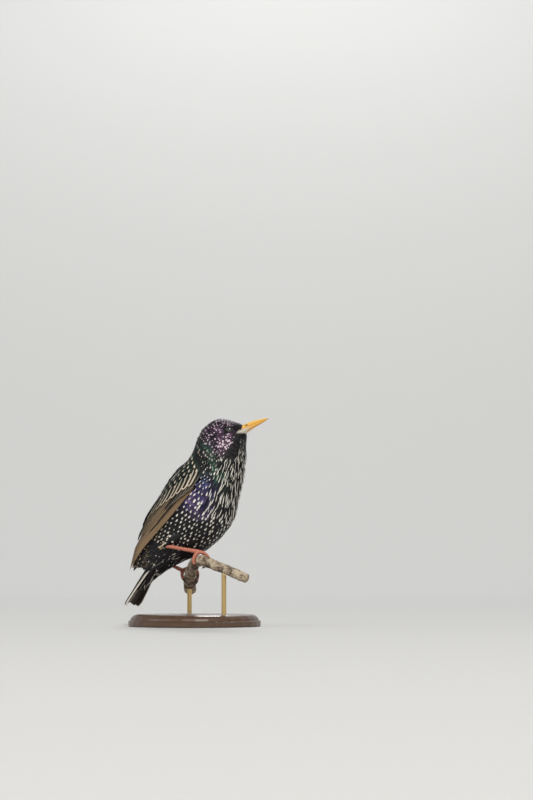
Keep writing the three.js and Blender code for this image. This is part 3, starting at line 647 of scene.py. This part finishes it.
def build_skin():
    """One closed skin from the bill to the tail coverts, deeper than the solids' surface."""
    t, angle = np.meshgrid(np.linspace(0, BODY_END, SKIN["rings"]),
                           np.linspace(-np.pi, np.pi, SKIN["around"], endpoint=False), indexing="ij")
    depth = SKIN["depth"] * smooth(t, *SKIN["deepens"]) + SKIN["face_depth"]
    mouth = away_from(on_body(t, angle), MOUTH["at"], MOUTH["long"], MOUTH["high"])
    points = capped(on_body(t, angle, -depth - MOUTH["sunk"] * np.exp(-mouth ** 4)))
    t, angle = (np.pad(value, ((1, 1), (0, 0)), "edge").ravel() for value in (t, angle))
    tint = coat_look(t, angle)["ground"] * 0.8
    made = make_mesh("skin", points, grid_faces(*points.shape[:2], True), skin_look, {"tint": tint}, None,
                     unwrap_body(t, angle))
    place(made, "plumage", "head", "neck", "torso", "rump")


def spacing(t):
    return np.interp(t, *SPACING)


def scatter(first, last, stray):
    """Roots in staggered rows round the body, from one section to another."""
    t_all = []
    angle_all = []
    t = first
    odd = 0.0
    ring = np.linspace(-np.pi, np.pi, 241)
    while t < last:
        gap = float(spacing(t))
        walk = on_body(np.full(len(ring), t), ring)
        length = np.concatenate([[0], np.cumsum(np.linalg.norm(np.diff(walk, axis=0), axis=1))])
        count = max(8, int(length[-1] / (gap * CLOSER)))
        marks = (np.arange(count) + 0.5 * odd + draw.uniform(-stray, stray, count)) / count * length[-1]
        angles = np.interp(marks % length[-1], length, ring)
        per_t, _ = body_scale(np.full(count, t), angles)
        t_all.append(t + draw.uniform(-stray, stray, count) * gap / per_t)
        angle_all.append(angles)
        t += gap / float(np.median(per_t))
        odd = 1.0 - odd
    return np.concatenate(t_all), np.concatenate(angle_all)


def bare_there(points, eye_reach):
    """By the corner of the mouth, where the pale base of the bill shows, and round the eye."""
    side = np.abs(points[:, 1])
    gape = (side > GAPE["side"]) & (away_from(points, GAPE["at"], GAPE["long"], GAPE["high"]) < 1)
    eye = (side > EYE_BARE["side"]) & (away_from(points, (LID["x"], LID["z"]), eye_reach, eye_reach) < 1)
    return gape | eye


def build_coat(name, first, last, stray):
    """Round feathers, and long hackles on throat and breast, over a part of the body."""
    t, angle = scatter(first, last, stray)
    per_t, _ = body_scale(t, angle)
    tips = on_body(t + 2.3 * spacing(t) / per_t, angle)
    keep = ~wing_covers(t, angle) & ~bare_there(on_body(t, angle), EYE_BARE["roots"])
    keep = keep & ~bare_there(tips, EYE_BARE["tips"])
    t, angle = t[keep], angle[keep]
    gap = spacing(t)
    count = len(t)
    deg = np.degrees(np.abs(angle))
    hackle = hackled(t, deg)
    length = gap * (2.5 + 1.3 * hackle) * (1 + draw.uniform(-0.12, 0.14, count) * lerp(0.4, 1, hackle))
    width = gap * (1.5 - 0.35 * hackle) * draw.uniform(0.9, 1.1, count)
    lift = 0.1 + 0.09 * gap + draw.uniform(-0.12, 0.15, count)
    shaggy = hackle * smooth(deg, 118, 142) * smooth(t, 2, 3.2) * (1 - 0.6 * smooth(t, 6, 9))
    lift = lift + shaggy * draw.uniform(0.1, 2.4, count)
    over_shoulder = band(t, 6.8, 7.6, 8.2, 8.8) * (deg < 92)
    lift = lift + 1.1 * over_shoulder
    skew = draw.normal(0, 0.05, count) + 0.12 * hackle * draw.normal(0, 1, count)
    look = coat_look(t, angle)
    look["ground"] = look["ground"] * draw.uniform(0.45, 1.6, (count, 1))
    look["start"] = look["start"] + draw.normal(0, 0.03, count)
    for ending, kind, part in (("round", "body", hackle < 0.5), ("long", "hackle", hackle >= 0.5)):
        if part.any():
            lay_on_body(f"{name}_{ending}", t[part], angle[part], length[part], width[part], -0.9, lift[part],
                        skew[part], kind, {key: value[part] for key, value in look.items()}, COAT_GRID)


# Wings

station_t = np.arange(SHOULDER, len(BODY) - 1, 0.05)
station_row = rows(BODY, station_t)
station_middle = (station_row[:, 0:2] + station_row[:, 2:4]) / 2
station_mm = np.concatenate([[0], np.cumsum(np.linalg.norm(np.diff(station_middle, axis=0), axis=1))])

# Long feathers of the wing. Root and tip are mm, q and lift, each for the outermost feather and then what
# every feather further in adds.
FLIGHT = {
    "primaries": {"count": 9, "width": 7.0, "mark": TAN, "fringe": 0.4,
                  "root": ((20, 0), (2.6, 0.55), (-0.3, 0.065)),
                  "tip": ((112, -2.5), (2.752, 0.86), (0.6, 0.065))},
    "secondaries": {"count": 8, "width": 7.4, "mark": BUFF, "fringe": 0.2,
                    "root": ((20, 0), (7.6, 1.85), (0.9, 0.04)),
                    "tip": ((82, -0.8), (7.372, 1.7945), (0.9, 0.04))},
    "tertials": {"count": 3, "width": 10.5, "mark": BUFF, "fringe": 0.13,
                 "root": ((30, 0), (23.5, 3.6), (1.9, 0)), "tip": ((85, -8.5), (22.0, 3.6), (1.3, 0))},
}
TAN_EDGED = 4  # the lowest secondaries have tan edges, and the very lowest one has a dark edge: its dark inner web with painted shadow
TAN_FRINGE = 0.34

# Rows of coverts and scapulars: where their tips run from and to, how many, length, how far up the roots lie,
# width, height at the tip, how much lower the root is, fringe and spot.
COVERTS = [
    ((62, 20), (22, 4.5), 9, 18, 4.4, 6.4, 2.2, -0.2, 0.5, NO_SPOT),
    ((48, 8), (27, 3.2), 5, 17, 0.6, 5.4, 1.9, 0.1, 0.1, NO_SPOT),
    ((32, 4.5), (13, 2.8), 5, 12, 1.6, 5.0, 2.0, 0.6, NO_FRINGE, 0.82),
    ((72, 31), (52, 24), 5, 15, 2, 7.0, 3.0, 0.3, 0.1, 0.88),
]
SPOTTED_ROWS = 8  # of small coverts and scapulars over them
COVERTS += [((54 - 5.0 * k, 23.5 + 2.2 * k), (9 - 1.6 * k, 6.5 + 4.1 * k), 10 - k // 2, 10 - 0.25 * k, 2.4,
             6.2 - 0.1 * k, 3.0 + 0.24 * k, 0.6, NO_FRINGE, 0.7) for k in range(SPOTTED_ROWS)]


def on_wing(mm, q, side, lift, thick=0.0):
    """A point on the folded wing: mm along the body, q up from the wing's lower edge."""
    t = np.interp(mm, station_mm, station_t) + np.minimum(mm, 0) / station_mm[20]
    bx, bz, fx, fz, half = np.moveaxis(rows(BODY, t), -1, 0)
    mean_radius = (half + np.hypot(bx - fx, bz - fz) / 2) / 2 + 1
    edge = np.radians(rows(WING_EDGE, np.maximum(0, mm) / WING_EDGE_STEP)[..., 0])
    # Near the back's midline the wing is drawn in, so that it never crosses over
    room = edge * mean_radius - WING["midline"]
    free = room * WING["drawn_in"]
    kept = np.where(q < free, q, free + (room - free) * (1 - np.exp(np.minimum(0, free - q) / (room - free))))
    settled = lerp(WING["least_settled"], 1, smooth(mm, *WING["settled"]))
    sunk = WING["sunk"] * (1 - smooth(mm, *WING["sunk_until"]))
    lift = WING["clear"] + (lift - WING["clear"]) * settled + thick - sunk
    return on_body(t, side * (edge - kept / mean_radius), lift)


def wing_covers(t, angle):
    """Where the wing lies over the body closely enough that no coat shows."""
    edge = np.radians(rows(WING_EDGE, np.interp(t, station_t, station_mm) / WING_EDGE_STEP)[..., 0])
    turn = np.abs(angle)
    return ((t > COVERED["first"]) & (t < COVERED["last"])
            & (turn < edge - COVERED["low"]) & (turn > edge - COVERED["high"]))


def flight_tiers():
    """Primaries, secondaries and tertials: root rows, tip rows, width, look, grid size and shingle."""
    tiers = []
    for name, part in FLIGHT.items():
        inner = np.arange(part["count"])[::-1]
        root, tip = (np.stack([first + step * inner for first, step in part[end]], 1)
                     for end in ("root", "tip"))
        look = look_of(part["count"], BROWN, part["mark"], fringe=part["fringe"])
        if name == "secondaries":
            look["mark"][inner < TAN_EDGED] = TAN
            # The very lowest secondary's dark edge is partly its dark inner web, partly painted shadow along
            # the wing's lower edge
            look["mark"][inner == 0] = DUSKY
            look["fringe"][(inner > 0) & (inner < TAN_EDGED)] = TAN_FRINGE
        tiers.append((root, tip, part["width"], look, FLIGHT_GRID, WING["shingle"]))
    return tiers


def covert_tiers():
    tiers = []
    for first, last, count, length, up, width, high, drop, fringe, spot in COVERTS:
        v = np.linspace(0, 1, count)
        mm = lerp(first[0], last[0], v) + draw.normal(0, 0.25, count)
        q = lerp(first[1], last[1], v) + draw.normal(0, 0.15, count)
        tip = np.stack([mm, q, high + draw.normal(0, 0.06, count)], 1)
        root = np.stack([mm - length, q + up, np.full(count, high - drop)], 1)
        fringed = fringe > 0
        ground = DUSKY if fringed else lerp(BLACK, GREEN, 0.25)
        look = look_of(count, ground, lerp(BUFF, WHITE, 0.45), spot, 0.3, 0.1 if fringed else 0.35, fringe)
        tiers.append((root, tip, width, look, COVERT_GRID, WING["shingle" if fringed else "spotted_shingle"]))
    return tiers


def wing_vanes(side, root, tip, width, look, size, shingle):
    """Points, faces and layers of vanes on one wing; root and tip are rows of mm, q and lift."""
    u, v = vane_grid(*size)
    mm, q, lift = (lerp(root[:, k, None, None], tip[:, k, None, None], u) for k in range(3))
    across = v * outline("wing", u) * width / 2
    slope = shingle * (0.5 - across / width)
    points = on_wing(mm, q + across, side, lift + slope, WING["vane"] + WING["ridge"] * (1 - np.abs(v)))
    root_uv = 0.03 + 0.9 * np.stack([(root[:, 0] + 10) / 120, root[:, 1] / 40], -1)
    aspect = 2 * np.abs(tip[:, 0] - root[:, 0]) / width
    return points.reshape(-1, 3), vane_faces(len(root), *size), *layers(u, v, look, root_uv, aspect)


def build_vanes(name, side):
    """All the vanes of one wing, in one mesh."""
    tiers = [wing_vanes(side, *tier) for tier in flight_tiers() + covert_tiers()]
    points, faces, colours, vectors, bakes = zip(*tiers)
    starts = np.cumsum([0] + [len(part) for part in points])
    faces = np.concatenate([part + start for part, start in zip(faces, starts)])
    colours, vectors = ({key: np.concatenate([part[key] for part in parts]) for key in parts[0]}
                        for parts in (colours, vectors))
    made = make_mesh(f"wing_feathers_{name}", np.concatenate(points), faces, quill, colours, vectors,
                     np.concatenate(bakes))
    place(made, "wing_feathers", f"wing_{name}")


def build_wing_flesh(name, side):
    """The closed, smooth form under the vanes."""
    span = np.linspace(0, 1, FLESH["across"])
    rings = []
    for mm in np.linspace(FLESH["from"], FLESH["to"], FLESH["rings"]):
        u = (mm - FLESH["from"]) / (FLESH["to"] - FLESH["from"])
        low = 2.2 + 6 * max(0, u - 0.7)
        high = lerp(31, 33, min(1, u * 3)) * (1 - 0.62 * max(0, u - 0.55) / 0.45)
        crown = 0.5 + 1.5 * math.sin(math.pi * min(1, u * 1.35 + 0.12)) ** 1.5
        q = lerp(low, high, span)
        at = np.full(len(span), mm)
        top = on_wing(at, q, side, 0.4 + crown * np.sin(np.pi * span) ** 0.8, 0.3)
        under = on_wing(at, q[::-1], side, 0.5)
        rings.append(np.concatenate([top, under]))
    grid = capped(np.array(rings))
    faces = grid_faces(*grid.shape[:2], True)
    place(make_mesh(f"wing_flesh_{name}", grid, faces, skin_look, {"tint": FLESH_TONE}), "wing_feathers")


# Tail

# Coverts under and over the root of the tail, bending in to it past the end of the rump
TAIL_COVERTS = {
    "under_tail_coverts": {"turn": (95, 180), "count": 84, "last": 18.4, "length": 25, "width": 6.8,
                           "ground": (0.012, 0.011, 0.012), "mark": WHITE, "fringe": 0.26},
    "upper_tail_coverts": {"turn": (0, 95), "count": 44, "last": 17.6, "length": 13, "width": 6.4,
                           "ground": (0.04, 0.032, 0.026), "mark": BUFF, "fringe": 0.16},
}


def build_tail():
    root = np.array(TAIL["root"], float)
    line = np.array(TAIL["tip"], float) - root
    along = unit(line)
    full_length = float(np.linalg.norm(line))
    twist = math.radians(TAIL["twist"])
    sideways = np.array([0, 1.0, 0])
    across = sideways * math.cos(twist) + np.cross(along, sideways) * math.sin(twist)
    up = unit(np.cross(across, along))

    u, v = vane_grid(*FLIGHT_GRID, 1.3)
    half = TAIL["width"] / 2 * outline("tail", u)
    outermost = TAIL["pairs"] - 1
    points = []
    for pair in range(TAIL["pairs"]):
        for side in SIDES.values():
            angle = math.radians(side * (pair + 0.35) * TAIL["fan"])
            length = full_length - TAIL["fork"] * abs(outermost - 1 - pair)
            x = side * (pair + 0.5) * TAIL["side_step"] + math.sin(angle) * u * length + v * half
            y = math.cos(angle) * u * length
            z = 0.3 + 0.25 * (1 - np.abs(v)) - 0.15 * v * v - pair * TAIL["layer"]
            if side == SIDES["left"]:
                z = z + TAIL["left_over"]
            if pair == outermost:
                z = z - TAIL["curl"] * (np.maximum(0, side * v - TAIL["web"]) / (1 - TAIL["web"])) ** 2
            points.append(root + x[..., None] * across + y[..., None] * along + z[..., None] * up)

    # The right outermost feather's white outer web is its pale edge with painted sunlight; the left one stays
    # dark as painted shade
    count = len(points)
    look = look_of(count, TAIL_BROWN, lerp(BUFF, WHITE, 0.5), fringe=0.2)
    right, left = -2, -1
    look["mark"][right] = WHITE
    # Painted shade: the left outermost feather keeps only a narrow fringe, so it stays dark
    look["fringe"][left] = 0.1
    uv = np.stack([0.05 + 0.9 * np.arange(count) / count, np.full(count, 0.5)], -1)
    colours, vectors, bake = layers(u, v, look, uv, 2 * full_length / TAIL["width"])
    sunlit_web = np.zeros((count, *FLIGHT_GRID), bool)
    sunlit_web[right] = v < -TAIL["web"]
    colours["ground"][sunlit_web.ravel()] = SUNLIT_WEB
    made = make_mesh("tail_feathers", points, vane_faces(count, *FLIGHT_GRID), quill, colours, vectors, bake)
    place(made, "tail_feathers", "tail")


def build_tail_coverts(name, part):
    count = part["count"]
    side = np.where(np.arange(count) % 2, 1, -1)
    angle = side * np.radians(draw.uniform(*part["turn"], count))
    t = np.sort(draw.uniform(15.0, part["last"], count))
    look = look_of(count, part["ground"], part["mark"], fringe=part["fringe"])
    look["fringe"] = np.where(draw.random(count) < 0.45, NO_FRINGE, look["fringe"])
    length = draw.uniform(0.8, 1.05, count) * part["length"]
    tip_lift = 0.7 + draw.uniform(-0.3, 0.3, count)
    skew = draw.normal(0, 0.07, count)
    lay_on_body(name, t, angle, length, np.full(count, part["width"]), -0.8, tip_lift, skew, "body", look,
                COVERT_GRID)


# Bill, eyes and lids


def build_bill(part):
    """The upper or lower half of the bill, with the nostril sunk into the upper one."""
    upper = part == "upper"
    long, wide = BILL_GRID
    end = len(BILL) - 1
    t = np.linspace(0, end, long)
    x, z, above, below, half = rows(BILL, t).T
    ahead = rows(BILL, np.minimum(t + 0.2, end)) - rows(BILL, np.maximum(t - 0.2, 0))
    along = unit(ahead[:, :2])
    a = np.radians(np.linspace(0, 180, wide) + (0 if upper else 180))
    across = np.cos(a) * np.maximum(half, 0.1)[:, None]
    high, gap = (above, BILL_GAP) if upper else (below, -BILL_GAP)
    rise = np.sin(a) * np.maximum(high, 0.1)[:, None] + gap
    points = np.stack([x[:, None] - rise * along[:, 1:], across, z[:, None] + rise * along[:, :1]], -1)

    tones = BILL_TONES
    down = 1 - np.abs(np.sin(a)) if upper else np.abs(np.sin(a)) ** 0.7 * 0.9 + 0.1
    tint = lerp(tones["top"], tones["edge"], np.broadcast_to(down * 0.85, (long, wide))[..., None])
    from_base = (t - (1.15 if upper else 1.9))[:, None] + 0.25 * np.sin(3 * a)
    tint = lerp(tones["base"], tint, smooth(from_base, -0.7, 0.9)[..., None])
    tint = lerp(tint, tones["tip"], smooth(t, 4.9, 6)[:, None, None] * 0.85)
    if upper:
        dent = np.exp(-away_from(points, NOSTRIL["at"], *NOSTRIL["dent"]) ** 4)
        points[..., 1] -= np.sign(points[..., 1]) * NOSTRIL["depth"] * dent * (np.abs(points[..., 1]) > 1)
        # Painted shade: the nostril's opening is darkened inside its dent
        dark = np.exp(-away_from(points, NOSTRIL["at"], *NOSTRIL["dark"]) ** 4)
        tint = lerp(tint, NOSTRIL_TONE, dark[..., None])
    made = make_mesh(f"bill_{part}_horn", points, grid_faces(long, wide, True), horn, {"tint": tint})
    place(made, "bill", f"bill_{part}")


def build_eye(name, side):
    a, b = round_grid(np.linspace(0, np.pi, 25), 48)
    ball = np.stack([np.sin(a) * np.cos(b), side * np.cos(a), np.sin(a) * np.sin(b)], -1)
    centre = np.array([EYE["x"], side * EYE["side"], EYE["z"]])
    tint = lerp(PUPIL_TONE, IRIS_TONE, smooth(np.degrees(a), *EYE["pupil"])[..., None])
    made = make_mesh(f"eyeball_{name}", centre + EYE["radius"] * ball, grid_faces(*a.shape, True), eye_look,
                     {"tint": tint})
    place(made, "eye", f"eye_{name}")


def build_lid(name, side):
    """A ring round the eye, turned to lie on the side of the head."""
    rings, sides = LID["rings"], LID["sides"]
    around, over = round_grid(np.linspace(0, 2 * np.pi, rings, endpoint=False), sides)
    ring = LID["radius"] + LID["thickness"] * np.cos(over)
    x = LID["long"] * ring * np.cos(around)
    z = LID["high"] * ring * np.sin(around)
    y = LID["thickness"] * np.sin(over)
    x, y = turned(x, y, -side * math.radians(LID["forwards"]))
    y, z = turned(y, z, side * math.radians(LID["up"]))
    points = np.stack([LID["x"] + x, side * LID["side"] + y, LID["z"] + z], -1)
    faces = grid_faces(rings + 1, sides, True) % (rings * sides)
    place(make_mesh(f"lid_{name}", points, faces, skin_look, {"tint": LID_TONE}), "plumage")


# Perch


def branch_at(u):
    """The branch's middle at a share of its real length, and that length."""
    even = np.linspace(0, 1, 400)
    line = curve_through(BRANCH, even)
    run = np.concatenate([[0], np.cumsum(np.linalg.norm(np.diff(line, axis=0), axis=1))])
    return curve_through(BRANCH, np.interp(np.asarray(u, float) * run[-1], run, even)), run[-1]


def branch_radius(u):
    return rows(BRANCH_RADIUS, np.asarray(u, float) * (len(BRANCH_RADIUS) - 1))[..., 0]


def round_branch(u, angle, lift=0.0):
    """A point round the branch: angle from its top towards the bird's front, lift over its surface."""
    u = np.asarray(u, float)
    angle = np.asarray(angle, float)[..., None]
    along = heading(lambda s: branch_at(s)[0], u, 0.002)
    up = unit(np.array([0, 0, 1.0]) - along * along[..., 2:3])
    front = unit(np.cross(along, up))
    front = np.where(front[..., :1] < 0, -front, front)
    radius = np.asarray(branch_radius(u) + lift)[..., None]
    return branch_at(u)[0] + radius * (up * np.cos(angle) + front * np.sin(angle))


def noise_at(points, scale, octaves=3, seed=0.0):
    """Smooth noise from -1 to 1 at mm points, the same on every run."""
    shift = Vector((seed, 1.7 * seed, 0.3))
    values = [noise.fractal(Vector(p) * scale + shift, 0.8, 2.1, octaves) for p in points.reshape(-1, 3)]
    return np.array(values).reshape(points.shape[:-1])


def build_branch():
    """Bark with lumps, furrows and bud scars, and pale cut ends."""
    long, around = BARK_GRID
    u, a = round_grid(np.linspace(0, 1, long), around)
    lumps = noise_at(round_branch(u, a), 0.13, seed=4.0)
    stretched = np.stack([np.cos(a) * 5, np.sin(a) * 5, u * 26], -1)
    furrows = 1 - 2 * np.abs(noise_at(stretched, 0.55, seed=9.0))
    scars = np.exp(-((u[:, :1] * BRANCH_MM - BUD_SCARS) / 0.7) ** 2).sum(1)[:, None]
    height = 0.45 * lumps - 0.28 * smooth(furrows, 0.55, 0.95) + 0.35 * scars * (0.7 + 0.5 * lumps) - 0.05
    height = np.minimum(height, 0.5)
    points = capped(round_branch(u, a, height))
    level = np.pad(smooth(height, -0.4, 0.12), ((1, 1), (0, 0)), "edge")[..., None]
    tint = lerp(BARK_TONES["furrow"], BARK_TONES["ridge"], level)
    tint[0] = tint[-1] = BARK_TONES["cut"]
    made = make_mesh("perch_bark", points, grid_faces(long + 2, around, True), bark, {"tint": tint})
    place(made, "bark", "perch_branch")


# Legs


def leg_tint(grid, dark):
    """Salmon red, darker in the joints between the scutes."""
    count = grid.shape[0]
    joints = 0.5 + 0.5 * np.cos(np.linspace(0, 2 * np.pi * count / 4, count))
    tone = lerp(1.0, dark, joints ** 3)
    return np.repeat(SALMON * tone[:, None], grid.shape[1], 0)


def thigh_coat(name, line):
    """Feathers down the thigh, to its end at the heel."""
    count = THIGH["feathers"]
    s = np.sort(draw.uniform(0.08, 0.93, count))
    turn = draw.uniform(0, 2 * np.pi, count)
    u, v = vane_grid(*COAT_GRID)
    whole = line[-1] - line[0]
    thigh_length = float(np.linalg.norm(whole))
    along = whole / thigh_length
    length = lerp(*THIGH["length"], s)
    width = lerp(*THIGH["width"], s)
    where = s[:, None, None] + u * (length / thigh_length)[:, None, None]
    thick = rows(np.array(THIGH["coat"])[:, None], np.minimum(where, 1) * 2)[..., 0]
    theta = turn[:, None, None] + v * outline("body", u) * width[:, None, None] / 2 / np.maximum(thick, 1.5)
    sideways = unit(np.array([0, 1.0, 0]) - along * along[1])
    upward = unit(np.cross(sideways, along))
    out = sideways * np.cos(theta)[..., None] + upward * np.sin(theta)[..., None]
    past = np.maximum(0, where - 1)[..., None] * thigh_length * along
    grid = curve_through(line, where) + past + out * (thick - 0.9 + u)[..., None]
    look = look_of(count, BLACK, WHITE, 0.76, 0.3, 0.14)
    look["mark"] = look["mark"] * lerp(np.ones(3), THIGH_END, s[:, None])
    look["start"] = np.where(draw.random(count) < 0.25, NO_SPOT, look["start"])
    uv = 0.05 + 0.9 * np.stack([turn / 6.3, s], -1)
    made = make_mesh(f"coat_thigh_{name}", grid, vane_faces(count, *COAT_GRID), plume,
                     *layers(u, v, look, uv, 2 * length / width))
    place(made, "plumage")


def build_tarsus(name, heel, ankle):
    """The scaled lower leg, from the heel to the toes."""
    steps = 4 * TARSUS["scutes"]
    share = np.linspace(0, 1, steps + 1)
    radii = np.interp(share, (0, 0.5, 1), (TARSUS["top"], TARSUS["middle"], TARSUS["bottom"]))
    radii = radii + TARSUS["step"] * np.abs(np.sin(np.pi * share * TARSUS["scutes"]))
    line = [heel + 1.4 * unit(heel - ankle), lerp(heel, ankle, 0.5) - [0, 0, 0.5], ankle - [0, 0, 0.6]]
    grid = tube(line, radii, 20, steps * 2)
    place(tube_mesh(f"leg_{name}", [grid], scaly, leg_tint(grid, 0.6)), "leg", f"tarsus_{name}")


def build_toes(name, foot, ankle):
    """Four toes round the branch, each with its claw."""
    toes = []
    branch_length = float(branch_at(0)[1])
    share = np.linspace(0, 1, 25)
    for toe, (spread_mm, reach, thick) in TOES.items():
        turn = math.copysign(1, reach)

        def path(angle, lift, share_now):
            u = foot["at"] - foot["side"] * spread_mm * share_now / branch_length
            return round_branch(u, math.radians(angle), TOE_LIFT + thick + lift)

        line = [ankle - [0, 0, 0.8]]
        for k in range(1, 7):
            part = k / 6
            line.append(path(lerp(4 * turn + foot["lean"], reach, part), 1.4 * (1 - part) ** 3, part))
        joints = 0.13 * np.abs(np.sin(np.pi * 6 * share))
        radii = thick * (1 - 0.22 * share) + 0.3 * np.exp(-(share / 0.15) ** 2) + joints
        toes.append(tube(line, radii, 18, 72))
        claw_line = [path(reach + turn * (CLAW["gap"] + CLAW["reach"] * k), 0.5 * k, 1)
                     for k in (-0.12, 0.25, 0.6, 1.0)]
        claw = tube_mesh(f"nail_{name}_{toe}", [tube(claw_line, CLAW["radii"], 14, 24)], horn, CLAW_TONE)
        place(claw, "claw", f"claw_{name}_{toe}")
    tint = np.concatenate([leg_tint(grid, 0.55) for grid in toes])
    place(tube_mesh(f"toes_{name}", toes, scaly, tint), "leg", f"foot_{name}")


def build_leg(name, foot):
    side = foot["side"]
    ankle = round_branch(foot["at"], math.radians(foot["lean"]), ANKLE_LIFT)
    heel = np.array(foot["heel"], float)
    knee = np.array([KNEE["x"], side * KNEE["side"], KNEE["z"]], float)
    line = np.array([knee, lerp(knee, heel, 0.55) + [0, 0, 1], heel - 1.2 * unit(heel - ankle)])
    thigh = tube(line, THIGH["radii"], 32, 30)
    place(tube_mesh(f"thigh_skin_{name}", [thigh], skin_look, THIGH_TONE), "plumage", f"thigh_{name}")
    thigh_coat(name, line)
    build_tarsus(name, heel, ankle)
    build_toes(name, foot, ankle)


# Stand and studio


def build_studio():
    """A pale floor that rises far behind into a soft backdrop all round, and a soft pale world."""
    turns, steps = 96, 40
    out, turn = (part.T for part in round_grid(np.linspace(0, 1, steps), turns))
    reach = 6000 * out
    points = np.stack([reach * np.cos(turn), reach * np.sin(turn), 3000 * smooth(out, 0.38, 1.0)], -1)
    make_mesh("floor", points, grid_faces(turns + 1, steps) % (turns * steps), pale)
    world = bpy.data.worlds.new("studio")
    world.use_nodes = True
    background = world.node_tree.nodes["Background"].inputs
    background["Color"].default_value = (0.9, 0.93, 0.97, 1)
    background["Strength"].default_value = 0.3
    bpy.context.scene.world = world


def lamp(name, place_m, size, watts, colour=(1, 1, 1)):
    """A round lamp that faces the bird."""
    data = bpy.data.lights.new(name, "AREA")
    data.shape = "DISK"
    data.size = size
    data.energy = watts
    data.color = colour
    made = bpy.data.objects.new(name, data)
    made.location = place_m
    x, y, z = np.array([0, 0, 0.1]) - np.array(place_m)
    made.rotation_euler = (math.atan2(math.hypot(x, y), -z), 0, math.atan2(y, x) - math.pi / 2)
    bpy.context.scene.collection.objects.link(made)


def build_camera():
    """The photograph's angle and framing."""
    azimuth = math.radians(20)
    distance = 1.8
    frame_height = 0.68
    bird_left = 0.0608  # how far the bird stands to the left of the picture's middle
    aim = np.array([bird_left * math.cos(azimuth), bird_left * math.sin(azimuth), 0.192])
    eye = aim + distance * np.array([math.sin(azimuth), -math.cos(azimuth), 0])
    eye[2] = 0.045
    data = bpy.data.cameras.new("camera")
    data.lens = data.sensor_width * distance / frame_height
    data.clip_end = 50
    camera = bpy.data.objects.new("camera", data)
    camera.location = eye
    camera.rotation_euler = (math.pi / 2 + math.atan2(aim[2] - eye[2], distance), 0, azimuth)
    bpy.context.scene.collection.objects.link(camera)
    bpy.context.scene.camera = camera
    bpy.context.scene.view_settings.view_transform = "Standard"


build_skin()
for coat, extent in COATS.items():
    build_coat(coat, *extent)
for hand, sign in SIDES.items():
    build_vanes(hand, sign)
    build_wing_flesh(hand, sign)
build_tail()
for row, part in TAIL_COVERTS.items():
    build_tail_coverts(row, part)
for half in ("upper", "lower"):
    build_bill(half)
for hand, sign in SIDES.items():
    build_eye(hand, sign)
    build_lid(hand, sign)
build_branch()
for hand, foot in FEET.items():
    build_leg(hand, foot)
for node, look in (("stand_base", wood), ("stand_rod_1", brass), ("stand_rod_2", brass)):
    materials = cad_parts[node].data.materials
    materials.clear()
    materials.append(look)
build_studio()
lamp("key", (2.0, -3.3, 3.9), 1.0, 190, (1, 0.97, 0.92))
lamp("fill", (-3.4, -2.4, 2.4), 2.5, 34, (0.95, 0.97, 1))
lamp("back", (-1.2, 3.6, 3.6), 1.6, 80)
build_camera()
